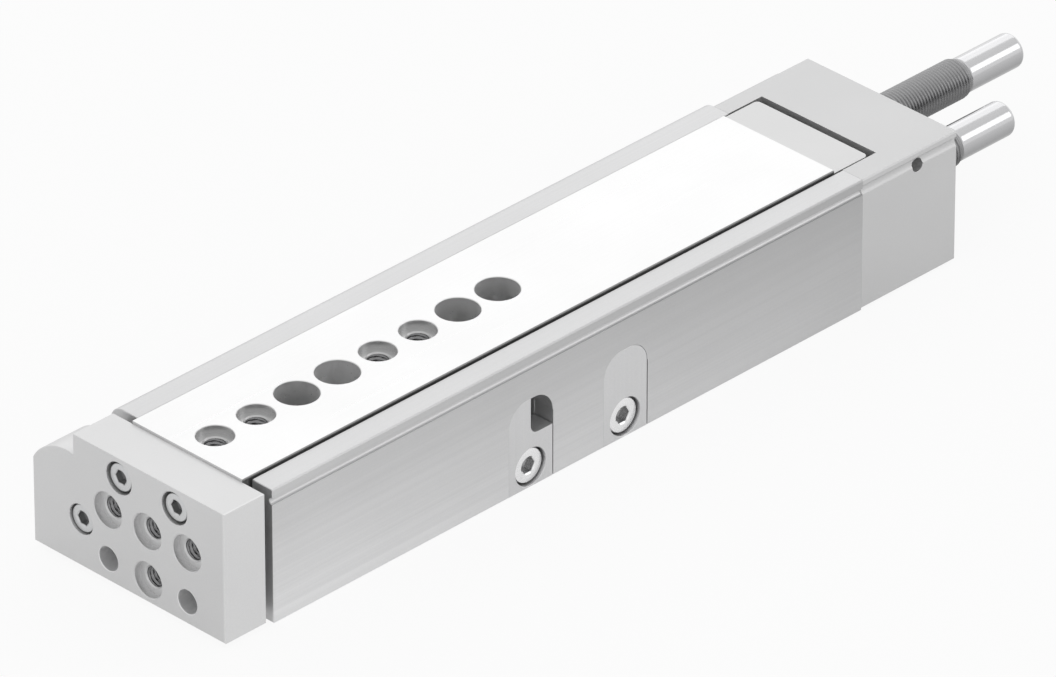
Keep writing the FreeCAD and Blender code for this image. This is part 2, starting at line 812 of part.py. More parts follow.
def table():
    """The steel table: a wide top on a narrower body with the inner raceways."""
    top = box(table_rear_x, yoke_back_x, -table_half, table_half, flange_bottom_z, table_top_z)
    long_edges = [e for e in top.Edges
                  if e.BoundBox.ZMin > table_top_z - 1e-6 and e.BoundBox.XLength > 1]
    top = top.makeChamfer(table_edge_chamfer, long_edges)
    body = box(table_rear_x, yoke_back_x, -table_body_half, table_body_half, table_underside_z,
               flange_bottom_z + cut_over)
    x0, x1 = upper_rack_span()
    cuts = [drive_slot(x0, x1, table_underside_z - cut_over, upper_slot_z)]
    for side in (-1, 1):
        cuts.append(raceway(table_rear_x - cut_over, yoke_back_x + cut_over, side))
    for x, kind in zip(hole_xs, hole_kinds):
        low = table_underside_z - cut_over
        if kind == "access":
            cuts.append(rod_z(x, 0, low, table_top_z + cut_over, access_radius))
        else:
            cuts.append(rod_z(x, 0, low, table_top_z, thread_m4_radius))
            cuts.append(rod_z(x, 0, table_top_z - centring_depth, table_top_z + cut_over, centring_radius))
    return joined([top, body]).cut(cuts + yoke_screw_cuts() + block_screw_cuts())


def yoke_screw_cuts():
    cut = screw_cut(m3_screw, yoke_screw_length, yoke_screw_pocket_radius, screw_recess)
    return [placed(cut, yoke_front_x - screw_recess, y, z) for y, z in yoke_screw_places]


def rod_screw_cut():
    cut = screw_cut(m3_screw, rod_screw_length, small_pocket_radius, screw_recess)
    return placed(cut, yoke_front_x - screw_recess, bore_y, bore_z)


def block_screw_cuts():
    cut = screw_cut(m3_screw, block_screw_length, small_pocket_radius, screw_recess)
    return [placed(cut, block_rear_x + screw_recess, y, z, 180) for y, z in block_screw_places]


def yoke_plate():
    """The front plate: a plateau behind the table and a rounded ear over the piston rod."""
    radius = crown_radius + yoke_crown_extra
    ear_inner_y = yoke_plateau_y + yoke_ear_overlap
    start = crown_angle_at_y(ear_inner_y, radius)
    end = crown_angle_at_y(left_face_y, radius)
    bottom_z = base_z + yoke_ground_gap
    ear_outline = [
        Vector(0, ear_inner_y, bottom_z),
        circle_point(crown_centre_y, crown_centre_z, radius, start),
        arc_about(crown_centre_y, crown_centre_z, radius, start, end),
        Vector(0, left_face_y, bottom_z),
    ]
    ear = extruded_x(ear_outline, yoke_back_x, yoke_front_x)
    ear = ear.makeChamfer(edge_chamfer, edges_on_x(ear, yoke_front_x))
    plateau = box(yoke_back_x, yoke_front_x, yoke_plateau_y, right_face_y, bottom_z, body_height)
    plateau = plateau.makeChamfer(edge_chamfer, edges_on_x(plateau, yoke_front_x))
    solid = joined([plateau, ear])
    cuts = yoke_screw_cuts() + [rod_screw_cut()]
    x0, x1 = yoke_back_x - cut_over, yoke_front_x + cut_over
    for y, z in yoke_thread_places:
        cuts.append(rod_x(x0, x1, y, z, thread_m4_radius))
        cuts.append(rod_x(yoke_front_x - centring_depth, x1, y, z, centring_radius))
    for y, z in yoke_plain_places:
        cuts.append(rod_x(x0, x1, y, z, yoke_plain_radius))
    return solid.cut(cuts)


def yoke_screws():
    screw = cap_screw(m3_screw, yoke_screw_length)
    return [placed(screw, yoke_front_x - screw_recess, y, z) for y, z in yoke_screw_places]


def rod_screw():
    return placed(cap_screw(m3_screw, rod_screw_length), yoke_front_x - screw_recess, bore_y, bore_z)


def piston_rod():
    """The rod, with a spigot for the piston at the rear and the rod screw's thread at the front."""
    spigot_x0 = piston_rear_x + nut_recess_depth - nut_height
    rod = rod_x(piston_front_x, yoke_back_x, bore_y, bore_z, rod_radius)
    spigot = rod_x(spigot_x0, piston_front_x + cut_over, bore_y, bore_z, rod_spigot_radius)
    return joined([rod, spigot]).cut(rod_screw_cut())


def piston_ring_places():
    """Start x and width of each groove, from the piston's front: seal, guide ring, magnet, seal."""
    places = {}
    x = piston_front_x
    for name, width in (("front_seal", piston_seal_width), ("guide_ring", guide_ring_width),
                        ("magnet", magnet_width), ("rear_seal", piston_seal_width)):
        x -= piston_land + width
        places[name] = (x, width)
    return places


def piston():
    outer = bore_radius - piston_fit
    body = rod_x(piston_rear_x, piston_front_x, bore_y, bore_z, outer)
    cuts = [
        rod_x(piston_rear_x - cut_over, piston_front_x + cut_over, bore_y, bore_z,
              rod_spigot_radius + ring_fit),
        rod_x(piston_rear_x - cut_over, piston_rear_x + nut_recess_depth, bore_y, bore_z, nut_recess_radius),
    ]
    for x, width in piston_ring_places().values():
        cuts.append(ring_x(x, x + width, bore_y, bore_z, outer - piston_groove_depth, bore_radius + cut_over))
    return body.cut(cuts)


def piston_ring(name, outer):
    x, width = piston_ring_places()[name]
    inner = bore_radius - piston_fit - piston_groove_depth + ring_fit
    return ring_x(x + ring_fit, x + width - ring_fit, bore_y, bore_z, inner, outer)


def piston_seals():
    outer = bore_radius - piston_ring_fit
    return [piston_ring("front_seal", outer), piston_ring("rear_seal", outer)]


def piston_nut():
    x0 = piston_rear_x + nut_recess_depth - nut_height
    nut = hexagon_x(x0, x0 + nut_height, bore_y, bore_z, nut_flats)
    hole = rod_x(x0 - cut_over, x0 + nut_height + cut_over, bore_y, bore_z, rod_spigot_radius + ring_fit)
    return nut.cut(hole)


def rear_stop_block():
    """The block behind the table: it carries one absorber and takes the other's blow."""
    lobe_left = trough_left_y + run_gap
    lobe_step = trough_step_y + run_gap
    lobe_right = trough_right_y - run_gap
    lobe_top = channel_floor_z - run_gap
    low_left = trough_left_floor_z + run_gap
    low_right = trough_right_floor_z + run_gap
    neck = min(table_body_half, -lobe_left)
    section = [
        (-table_half, body_height), (table_half, body_height), (table_half, flange_bottom_z),
        (neck, flange_bottom_z), (neck, lobe_top), (lobe_right, lobe_top), (lobe_right, low_right),
        (lobe_step, low_right), (lobe_step, low_left), (lobe_left, low_left), (lobe_left, lobe_top),
        (-neck, lobe_top), (-neck, flange_bottom_z), (-table_half, flange_bottom_z),
    ]
    solid = extruded_x([Vector(0, y, z) for y, z in section], block_rear_x, table_rear_x)
    corners = [e for e in edges_on_x(solid, block_rear_x)
               if e.BoundBox.YLength < 1e-6 and abs(abs(e.BoundBox.YMin) - table_half) < 1e-6]
    solid = solid.makeFillet(block_corner_radius, corners)
    hole = rod_x(block_rear_x - cut_over, table_rear_x + cut_over, advance_absorber_y, absorber_z,
                 absorber_thread_radius + absorber_fit)
    return solid.cut([hole] + block_screw_cuts())


def stop_block_screws():
    screw = cap_screw(m3_screw, block_screw_length)
    return [placed(screw, block_rear_x + screw_recess, y, z, 180) for y, z in block_screw_places]


def plunger_length(sleeve_length):
    return sleeve_length + plunger_travel + plunger_guided


def absorber_barrel(front_x, y):
    """The threaded barrel, bored from the front for the plunger. Its rear end tapers to the tail."""
    taper_x = front_x - absorber_thread_length + absorber_thread_taper
    rear_x = front_x - absorber_thread_length
    barrel = rod_x(taper_x, front_x, y, absorber_z, absorber_thread_radius)
    taper = cone_x(rear_x, taper_x, y, absorber_z, absorber_tail_radius, absorber_thread_radius)
    depth = plunger_travel + plunger_guided + plunger_bore_spare
    bore = rod_x(front_x - depth, front_x + cut_over, y, absorber_z, plunger_radius + plunger_fit)
    return joined([barrel, taper]).cut(bore)


def absorber_tail(front_x, y):
    """The smooth end behind the thread, with a hexagon socket for setting the stop."""
    front = front_x - absorber_thread_length
    rear = front - absorber_tail_length
    tail = rod_x(rear, front, y, absorber_z, absorber_tail_radius)
    tail = tail.makeChamfer(absorber_tail_chamfer, edges_on_x(tail, rear))
    return tail.cut(hexagon_x(rear - cut_over, rear + absorber_key_depth, y, absorber_z, absorber_key))


def absorber_sleeve(front_x, y, length):
    """The stop sleeve around the plunger: its front face takes the load at the end of the stroke."""
    return ring_x(front_x, front_x + length, y, absorber_z, plunger_radius + plunger_fit, sleeve_radius)


def absorber_plunger(tip_x, y, sleeve_length):
    rod = rod_x(tip_x - plunger_length(sleeve_length), tip_x, y, absorber_z, plunger_radius)
    return rod.makeChamfer(plunger_tip_chamfer, edges_on_x(rod, tip_x))


def write(name, shape):
    solids = shape if isinstance(shape, list) else [shape]
    group = solids[0] if len(solids) == 1 else Part.makeCompound(solids)
    group.exportStep(os.path.join("parts", name + ".step"))


def main():
    os.makedirs("parts", exist_ok=True)
    advance_front = table_rear_x
    retract_front = block_rear_x - retract_sleeve_length
    nodes = {
        "housing": housing(),
        "rear_cap": rear_cap(),
        "rear_cap_screws": rear_cap_screws(),
        "guide_rail_left": guide_rail(-1),
        "guide_rail_right": guide_rail(1),
        "cage_rack_lower": cage_rack_lower(),
        "rod_bearing_bush": rod_bearing_bush(),
        "rod_seal": rod_seal(),
        "seal_retainer": seal_retainer(),
        "snap_ring": snap_ring(),
        "cylinder_end_plug": cylinder_end_plug(),
        "end_plug_seal": end_plug_seal(),
        "stop_insert": stop_insert(),
        "stop_insert_screw": insert_screw(stop_insert_x),
        "blank_insert": blank_insert(),
        "blank_insert_screw": insert_screw(blank_insert_x),
        "table": table(),
        "yoke_plate": yoke_plate(),
        "yoke_screws": yoke_screws(),
        "rod_screw": rod_screw(),
        "piston_rod": piston_rod(),
        "piston": piston(),
        "piston_seals": piston_seals(),
        "piston_guide_ring": piston_ring("guide_ring", bore_radius - piston_ring_fit),
        "piston_magnet": piston_ring("magnet", bore_radius - piston_fit),
        "piston_nut": piston_nut(),
        "rear_stop_block": rear_stop_block(),
        "stop_block_screws": stop_block_screws(),
        "cage_rack_upper": cage_rack_upper(),
        "ball_cage": ball_cage(),
        "guide_balls": guide_balls(),
        "pinion_axle": pinion_axle(),
        "cage_pinion": cage_pinion(),
        "advance_absorber_barrel": absorber_barrel(advance_front, advance_absorber_y),
        "advance_absorber_tail": absorber_tail(advance_front, advance_absorber_y),
        "advance_absorber_sleeve": absorber_sleeve(advance_front, advance_absorber_y, advance_sleeve_length),
        "advance_plunger": absorber_plunger(advance_front + advance_sleeve_length + plunger_travel,
                                            advance_absorber_y, advance_sleeve_length),
        "retract_absorber_barrel": absorber_barrel(retract_front, retract_absorber_y),
        "retract_absorber_tail": absorber_tail(retract_front, retract_absorber_y),
        "retract_absorber_sleeve": absorber_sleeve(retract_front, retract_absorber_y, retract_sleeve_length),
        "retract_plunger": absorber_plunger(block_rear_x, retract_absorber_y, retract_sleeve_length),
    }
    for name, shape in nodes.items():
        write(name, shape)


main()
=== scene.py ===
import json
import math

import bpy
from mathutils import Matrix, Vector

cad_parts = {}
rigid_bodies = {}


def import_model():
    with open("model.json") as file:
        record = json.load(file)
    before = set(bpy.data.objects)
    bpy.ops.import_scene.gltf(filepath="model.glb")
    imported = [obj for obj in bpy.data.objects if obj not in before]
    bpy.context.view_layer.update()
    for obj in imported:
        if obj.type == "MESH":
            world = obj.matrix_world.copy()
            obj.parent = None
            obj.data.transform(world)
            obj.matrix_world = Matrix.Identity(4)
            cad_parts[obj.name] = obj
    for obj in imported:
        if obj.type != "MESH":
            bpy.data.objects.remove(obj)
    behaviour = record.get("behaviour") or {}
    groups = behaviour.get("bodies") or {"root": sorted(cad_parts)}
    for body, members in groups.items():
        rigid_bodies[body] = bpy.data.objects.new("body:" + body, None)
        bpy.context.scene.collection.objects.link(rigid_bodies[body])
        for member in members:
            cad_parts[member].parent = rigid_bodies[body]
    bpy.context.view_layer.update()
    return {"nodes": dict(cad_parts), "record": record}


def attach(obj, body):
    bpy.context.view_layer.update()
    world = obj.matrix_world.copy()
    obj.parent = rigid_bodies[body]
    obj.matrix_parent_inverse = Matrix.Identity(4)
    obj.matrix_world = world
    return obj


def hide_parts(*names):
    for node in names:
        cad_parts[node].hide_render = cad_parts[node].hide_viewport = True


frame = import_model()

NODES = frame["nodes"]
SLOT_OF = {s["node"]: s["material_slot"] for s in frame["record"]["subparts"]}
MM = 0.001
ROUND = 72

# x runs to the front, y to the right and z up
FORE, AFT, RIGHT, LEFT = (1, 0, 0), (-1, 0, 0), (0, 1, 0), (0, -1, 0)
UP, DOWN = (0, 0, 1), (0, 0, -1)

# Main sizes of the slide table, in millimetres
FRONT_X, JOINT_X, REAR_X = 87.0, -62.0, -87.0
BODY_TOP, RIGHT_Y, LEFT_Y = 27.5, 19.5, -29.0
BODY_EDGE = 0.25
CAP_LIFT = 0.3
CROWN_Y, CROWN_Z, CROWN_R = -20.4, 13.6, 9.35
CAP_CROWN_R, YOKE_CROWN_R = CROWN_R - 0.2, CROWN_R + 0.5
RAIL_Y, SHOULDER_R = -18.2, 3.2
GROOVE_Z, GROOVE_R = 25.05, 0.68
DIP_Y, DIP_Z, DIP_R, DIP_SPREAD = RIGHT_Y + 0.8, 25.4, 1.3, 52
SIDE_HOLE_X, SIDE_HOLE_Z, SIDE_HOLE_R = JOINT_X - 14.6, 24.55, 1.35
CHANNEL_HALF, FLOOR_Z = 14.38, 18.6
SLOT_Z, SLOT_R = 4.6, 2.0
PORTS = (-53.8, 46.1)
BASE_SCREWS, BASE_THREADS, BASE_WEB_Z = (62.0, 22.0, -18.0), (52.0, 12.0), 5.0

# The trough under the channel, with a deeper lane on its right
TROUGH_FRONT, TROUGH_LEFT, TROUGH_RIGHT, TROUGH_Z = 20.8, -11.3, 12.4, 12.6
LANE_LEFT, LANE_Z, LANE_TOP = 3.2, 9.6, 13.0

# The slots of the cage's racks and pinion, and the groove that the balls run in
DRIVE_LEFT, DRIVE_RIGHT = -8.5, -4.7
DRIVE_LOWER, DRIVE_LOWER_Z = (29.2, 76.8), 14.4
DRIVE_UPPER, DRIVE_UPPER_Z = (-10.8, 36.8), 23.5
RACEWAY_Y, RACEWAY_Z, RACEWAY_R = 10.8, 21.6, 1.6

# Cylinder, rod and the parts on them
ROD_Y, ROD_Z = -16.9, 10.6
CYLINDER_R, ROD_PASSAGE_R, BUSH_R = 5.0, 3.0, 4.2
RING_X, RING_R, RING_WIDTH = 84.8, 4.7, 0.8

# Table, yoke plate and stop block
TABLE_HALF, TABLE_BODY_HALF, TABLE_TOP, TABLE_LOW = 14.0, 10.1, 28.0, 19.3
FLANGE_Z = 25.0
TABLE_REAR, YOKE_BACK, YOKE_FRONT = -60.2, 88.8, 98.8
BLOCK_REAR, POCKET_REAR = -69.2, -70.8
YOKE_LOW, PLATEAU_Y = 1.0, -18.6
TABLE_HOLES = [82.0 - 10.0 * i for i in range(8)]
ACCESS_HOLES = TABLE_HOLES[2:4] + TABLE_HOLES[6:8]
THREAD_HOLES = TABLE_HOLES[0:2] + TABLE_HOLES[4:6]
YOKE_THREADS = [(-10.0, 15.5), (0.0, 15.5), (10.0, 15.5), (0.0, 5.5)]
YOKE_PLAIN = [(-10.0, 5.5), (10.0, 5.5)]
YOKE_SCREWS = [(-7.0, 23.4), (7.0, 23.4)]
CAP_SCREWS = [(-24.4, 15.0), (-5.0, 5.0), (16.0, 5.5)]
BLOCK_SCREWS = [(-6.5, 23.0), (6.5, 23.0)]
HEAD_DROP, SIDE_HEAD_DROP = 0.5, 0.6

# Side inserts
STOP_X, BLANK_X, SCREW_Z = 23.25, -0.75, 4.1
INSERT_WIDTH, INSERT_TOP, INSERT_R = 11.0, 18.3, 4.6
INSERT_Y, FOOT_Y, ARM_Y = 14.8, 11.0, 4.8
FOOT_TOP, ARM_TOP = 8.6, 17.2

# Shock absorbers
ABSORBER_Z, ADVANCE_Y, RETRACT_Y = 15.0, 7.7, -8.3
RETRACT_FRONT = -79.7
THREAD_LENGTH, TAIL_LENGTH = 37.7, 14.3
ABSORBER_KEY, KEY_DEPTH = 3.0, 2.0

# Radii of holes, and how deep their wide parts are
CENTRING_R, CENTRING_DEPTH = 3.5, 1.6
M3_R, M4_R, ABSORBER_R, ABSORBER_PASSAGE_R = 1.55, 2.05, 4.05, 4.5
HEAD_R, HEAD_DEPTH, WIDE_HEAD_R, SIDE_HEAD_R, SIDE_HEAD_DEPTH = 3.0, 3.5, 3.2, 3.85, 4.6
PORT_R, M5_R, M5_CORE_R, BASE_SCREW_R, BASE_HEAD_R = 2.45, 2.45, 2.1, 2.15, 3.8
ACCESS_R, YOKE_PLAIN_R = 4.15, 2.4

# Thread of the table's and the yoke plate's holes: core radius, outer radius and pitch
M4_THREAD = (1.65, 2.0, 0.7)
THREAD_START = 1.86

# Socket head screws: shank radius, head radius, head height, width across flats, socket depth
M3 = (1.5, 2.75, 3.0, 2.5, 1.5)
M4 = (2.0, 3.5, 4.0, 3.0, 2.1)


# Shapes


def add_mesh(name, points, faces):
    """A new mesh object from points in millimetres."""
    mesh = bpy.data.meshes.new(name)
    mesh.from_pydata([[c * MM for c in p] for p in points], [], faces)
    mesh.update()
    obj = bpy.data.objects.new(name, mesh)
    bpy.context.scene.collection.objects.link(obj)
    return obj


def flip_if_inside_out(obj):
    mesh = obj.data
    mesh.calc_loop_triangles()
    volume = 0.0
    for t in mesh.loop_triangles:
        a, b, c = (mesh.vertices[i].co for i in t.vertices)
        volume += a.dot(b.cross(c))
    if volume < 0:
        mesh.flip_normals()


def frame_of(axis):
    """A matrix whose third column is the axis."""
    w = Vector(axis).normalized()
    u = Vector(UP).cross(w) if abs(w.z) < 0.9 else Vector(RIGHT).cross(w)
    u.normalize()
    v = w.cross(u)
    return Matrix((u, v, w)).transposed()


def revolve(name, origin, axis, profile, steps=ROUND, shape=None):
    """A closed turned solid. profile is a list of (distance along the axis, radius).
    shape(ring index, angle, radius) may change a ring's radius."""
    turn, base = frame_of(axis), Vector(origin)
    points, rings, faces = [], [], []
    for k, (along, radius) in enumerate(profile):
        if radius == 0:
            rings.append([len(points)])
            points.append(base + turn @ Vector((0, 0, along)))
            continue
        ring = []
        for i in range(steps):
            angle = 2 * math.pi * i / steps
            r = shape(k, angle, radius) if shape else radius
            ring.append(len(points))
            points.append(base + turn @ Vector((r * math.cos(angle), r * math.sin(angle), along)))
        rings.append(ring)
    for low, high in zip(rings, rings[1:]):
        if len(low) == 1 and len(high) == 1:
            continue
        for i in range(steps):
            j = (i + 1) % steps
            if len(low) == 1:
                faces.append([low[0], high[j], high[i]])
            elif len(high) == 1:
                faces.append([low[i], low[j], high[0]])
            else:
                faces.append([low[i], low[j], high[j], high[i]])
    if len(rings[0]) > 1:
        faces.append(rings[0][::-1])
    if len(rings[-1]) > 1:
        faces.append(rings[-1])
    obj = add_mesh(name, points, faces)
    flip_if_inside_out(obj)
    return obj


def arc(cy, cz, radius, start, end, steps=16):
    """Points of an arc, with angles in degrees from the first axis of the section."""
    found = []
    for i in range(steps + 1):
        a = math.radians(start + (end - start) * i / steps)
        found.append((cy + radius * math.cos(a), cz + radius * math.sin(a)))
    return found


def inset(outline, amount):
    """The outline moved inwards by amount. The outline runs anticlockwise."""
    sharpest = 0.2
    result = []
    count = len(outline)
    for i in range(count):
        (ax, ay), (bx, by), (cx, cy) = outline[i - 1], outline[i], outline[(i + 1) % count]
        d0 = Vector((bx - ax, by - ay)).normalized()
        d1 = Vector((cx - bx, cy - by)).normalized()
        middle = Vector((-d0.y, d0.x)) + Vector((-d1.y, d1.x))
        middle /= max(middle.length_squared / 2, sharpest)
        result.append((bx + middle.x * amount, by + middle.y * amount))
    return result


def prism(name, outline, start, end, place, edges=(0.0, 0.0)):
    """A closed extrusion. place turns (first, second, along) into x, y, z.
    edges are the chamfers at its two ends."""
    layers = [(start, edges[0])] if edges[0] else []
    layers += [(start + edges[0], 0.0), (end - edges[1], 0.0)]
    if edges[1]:
        layers.append((end, edges[1]))
    points, count = [], len(outline)
    for along, amount in layers:
        ring = inset(outline, amount) if amount else outline
        points += [place(a, b, along) for a, b in ring]
    faces = [list(range(count))[::-1], [len(points) - count + i for i in range(count)]]
    for k in range(len(layers) - 1):
        low, high = k * count, (k + 1) * count
        for i in range(count):
            j = (i + 1) % count
            faces.append([low + i, low + j, high + j, high + i])
    obj = add_mesh(name, points, faces)
    flip_if_inside_out(obj)
    return obj


def along_x(a, b, s):
    return (s, a, b)


def along_y(a, b, s):
    return (a, s, b)


def along_z(a, b, s):
    return (a, b, s)


def block(x0, x1, y0, y1, z0, z1):
    return prism("cutter", [(y0, z0), (y1, z0), (y1, z1), (y0, z1)], x0, x1, along_x)


def bore(origin, axis, radius, depth, edge=0.0, over=1.0, steps=ROUND):
    """A round cutter that goes depth into the part from origin, against the axis.
    It stands over the surface, and edge is the chamfer at its mouth."""
    profile = [(over, radius + edge)]
    if edge:
        profile += [(0.0, radius + edge), (-edge, radius)]
    profile.append((-depth, radius))
    return revolve("cutter", origin, axis, profile, steps)


def settle(obj):
    """Makes the result of the object's modifiers its mesh."""
    bpy.context.view_layer.update()
    evaluated = obj.evaluated_get(bpy.context.evaluated_depsgraph_get())
    mesh = bpy.data.meshes.new_from_object(evaluated)
    obj.modifiers.clear()
    obj.data = mesh


def cut(obj, cutters):
    """Takes all cutters out of the object."""
    group = bpy.data.collections.new("cutters")
    bpy.context.scene.collection.children.link(group)
    for c in cutters:
        bpy.context.scene.collection.objects.unlink(c)
        group.objects.link(c)
    modifier = obj.modifiers.new("cut", "BOOLEAN")
    modifier.operation = "DIFFERENCE"
    modifier.operand_type = "COLLECTION"
    modifier.collection = group
    modifier.solver = "EXACT"
    settle(obj)
    for c in list(group.objects):
        bpy.data.objects.remove(c)
    bpy.data.collections.remove(group)


def unite(obj, parts):
    """Adds the solid parts to the object."""
    for part in parts:
        union = obj.modifiers.new("join", "BOOLEAN")
        union.operation, union.object, union.solver = "UNION", part, "EXACT"
    settle(obj)
    for part in parts:
        bpy.data.objects.remove(part)


def join(objects):
    """All objects as one mesh object."""
    first = objects[0]
    if len(objects) > 1:
        with bpy.context.temp_override(active_object=first, object=first, selected_objects=objects,
                                       selected_editable_objects=objects):
            bpy.ops.object.join()
    return first


def thread_wave(t):
    """Height of a thread's flank over one pitch, 0 at the root and 1 at the crest."""
    root, flank = 0.12, 0.74
    t %= 1.0
    return min(1.0, max(0.0, (abs(2 * t - 1) - root) / flank))


def inner_thread(origin, axis, depth):
    """A threaded sleeve that lines a hole, from its mouth down to depth."""
    minor, major, pitch = M4_THREAD
    per_turn, around, wall, lead_in = 8, 40, 0.03, 0.8
    turn, base = frame_of(axis), Vector(origin)
    count = int(depth / pitch * per_turn)
    angles = [2 * math.pi * i / around for i in range(around)]
    points, faces = [], []
    for k in range(count + 1):
        along = -depth * k / count
        mouth = max(0.0, 1.0 + along / (lead_in * pitch))
        for i, a in enumerate(angles):
            wave = thread_wave(along / pitch - i / around)
            r = major - (major - minor) * wave * (1 - mouth)
            points.append(base + turn @ Vector((r * math.cos(a), r * math.sin(a), along)))
    outer = len(points)
    for along in (0.0, -depth):
        for a in angles:
            r = major + wall
            points.append(base + turn @ Vector((r * math.cos(a), r * math.sin(a), along)))
    for k in range(count):
        low, high = k * around, (k + 1) * around
        for i in range(around):
            j = (i + 1) % around
            faces.append([low + i, low + j, high + j, high + i])
    last, lower = count * around, outer + around
    for i in range(around):
        j = (i + 1) % around
        faces.append([outer + j, outer + i, lower + i, lower + j])
        faces.append([outer + i, outer + j, j, i])
        faces.append([last + i, last + j, lower + j, lower + i])
    obj = add_mesh("thread", points, faces)
    flip_if_inside_out(obj)
    return obj


# Materials


def new_node(tree, kind, inputs=(), **settings):
    """A node with its settings, and with its inputs' values by name or place."""
    node = tree.nodes.new(kind)
    for key, value in settings.items():
        setattr(node, key, value)
    for key, value in dict(inputs).items():
        node.inputs[key].default_value = value
    return node


class Nodes:
    """Small helper around one node material."""

    def __init__(self, name):
        self.material = bpy.data.materials.new(name)
        self.material.use_nodes = True
        self.tree = self.material.node_tree
        self.shader = self.tree.nodes["Principled BSDF"]
        self.place = self.add("ShaderNodeTexCoord").outputs["Object"]

    def add(self, kind, inputs=(), **settings):
        return new_node(self.tree, kind, inputs, **settings)

    def link(self, a, b):
        self.tree.links.new(a, b)

    def noise(self, scale=(1, 1, 1), size=1.0, detail=2.0, roughness=0.5):
        scaled = self.add("ShaderNodeMapping", {"Scale": scale})
        self.link(self.place, scaled.inputs["Vector"])
        node = self.add("ShaderNodeTexNoise",
                        {"Scale": size, "Detail": detail, "Roughness": roughness})
        self.link(scaled.outputs["Vector"], node.inputs["Vector"])
        return node.outputs["Fac"]

    def ramp(self, fac, low, high, start=0.3, end=0.7):
        """A number that goes from low to high while fac goes from start to end."""
        node = self.add("ShaderNodeMapRange",
                        {"From Min": start, "From Max": end, "To Min": low, "To Max": high})
        self.link(fac, node.inputs["Value"])
        return node.outputs["Result"]

    def times(self, a, b):
        node = self.add("ShaderNodeMath", operation="MULTIPLY")
        self.link(a, node.inputs[0])
        self.link(b, node.inputs[1])
        return node.outputs[0]

    def components(self):
        """The place on the object, as x, y and z in metres."""
        node = self.add("ShaderNodeSeparateXYZ")
        self.link(self.place, node.inputs[0])
        return node.outputs

    def size_of(self, value):
        """The number without its sign."""
        node = self.add("ShaderNodeMath", operation="ABSOLUTE")
        self.link(value, node.inputs[0])
        return node.outputs[0]

    def wave(self, value, length, crest):
        """A wave between -1 and 1 that is 1 where value is at the crest."""
        turns = 2 * math.pi / length
        angle = self.add("ShaderNodeMath", {1: turns, 2: -turns * crest}, operation="MULTIPLY_ADD")
        self.link(value, angle.inputs[0])
        node = self.add("ShaderNodeMath", operation="COSINE")
        self.link(angle.outputs[0], node.inputs[0])
        return node.outputs[0]

    def distance(self, y, z, centre):
        """Distance of (y, z) from centre."""
        point = self.add("ShaderNodeCombineXYZ")
        self.link(y, point.inputs["Y"])
        self.link(z, point.inputs["Z"])
        node = self.add("ShaderNodeVectorMath", {1: (0, *centre)}, operation="DISTANCE")
        self.link(point.outputs[0], node.inputs[0])
        return node.outputs["Value"]

    def blend(self, share, value, elsewhere=1.0):
        """The number elsewhere where share is 0, and value where share is 1."""
        node = self.add("ShaderNodeMix", {"A": elsewhere}, data_type="FLOAT")
        self.link(share, node.inputs["Factor"])
        self.link(value, node.inputs["B"])
        return node.outputs["Result"]

    def tint(self, colour, factor):
        """The colour times a factor that varies over the surface."""
        node = self.add("ShaderNodeVectorMath", {0: colour}, operation="SCALE")
        self.link(factor, node.inputs["Scale"])
        self.link(node.outputs["Vector"], self.shader.inputs["Base Color"])

    def bump(self, height, strength, distance):
        node = self.add("ShaderNodeBump", {"Strength": strength, "Distance": distance})
        self.link(height, node.inputs["Height"])
        self.link(node.outputs["Normal"], self.shader.inputs["Normal"])


# Where a tone changes from the inside of a part to its right face, in metres
FACE_EDGE = (0.0190, 0.0194)


def side_painted_shade(n):
    """Painted shade: the drawn right face darkens towards the top and the rear, and the rest of
    the housing is painted a little darker, so that its tops are less bright.
    """
    x, y, z = n.components()
    by_height = n.ramp(z, 1.06, 0.82, 0.002, 0.024)
    by_length = n.ramp(x, 0.80, 1.11, -0.062, 0.087)
    return n.blend(n.ramp(y, 0.0, 1.0, *FACE_EDGE), n.times(by_height, by_length), 0.92)


def yoke_painted_light(n):
    """Painted light: the yoke plate's right face and its two plain holes are made a little lighter
    than its front.
    """
    y, z = n.components()[1:]
    from_hole = n.distance(n.size_of(y), z, (0.010, 0.0055))
    hole_painted_light = n.ramp(from_hole, 1.29, 1.0, 0.00242, 0.00256)
    return n.times(n.ramp(y, 1.0, 1.12, *FACE_EDGE), hole_painted_light)


def table_painted_shade(n):
    """The top is ground bright. Painted shade darkens the walls of the threaded holes' recesses
    and the long sides, whose dark edge stands for the shadow in the gap beside the rails; painted
    light makes the plain holes' walls lighter. The holes come in pairs, plain and threaded in
    turn, so a wave along x tells them apart."""
    x, y, z = n.components()
    pair = n.wave(x, 0.040, 0.017)
    below_top = n.ramp(z, 1.0, 0.0, 0.0273, 0.02795)
    near_middle = n.ramp(n.size_of(y), 1.0, 0.0, 0.0044, 0.0045)
    # painted shade in the threaded holes' recesses, painted light in the plain holes
    hole = n.ramp(pair, 0.72, 1.1, -0.04, 0.04)
    wall_shade_and_light = n.blend(n.times(below_top, near_middle), hole)
    # painted shadow along the long sides
    return n.times(wall_shade_and_light, n.ramp(n.size_of(y), 1.0, 0.3, 0.01379, 0.01386))


def screw_painted_shade(n):
    """Painted shade: a side screw's head is darkened everywhere but its flat top, on its rounded
    edge, side and socket.
    """
    y = n.components()[1]
    return n.ramp(y, 0.62, 1.0, 0.01858, 0.01882)


def head_painted_shade(level):
    """Painted shade for the screws whose heads end at this distance from the middle, in metres.
    The socket and the head below its flat top are painted darker."""
    def tone(n):
        return n.ramp(n.size_of(n.components()[0]), 0.55, 1.0, level - 0.0003, level - 0.0001)
    return tone


def chrome_painted_reflection(n):
    """Painted reflection: the polished ends are a little darker below, a painted darker reflection
    there.
    """
    z = n.components()[2]
    return n.ramp(z, 0.56, 1.0, 0.0140, 0.0176)


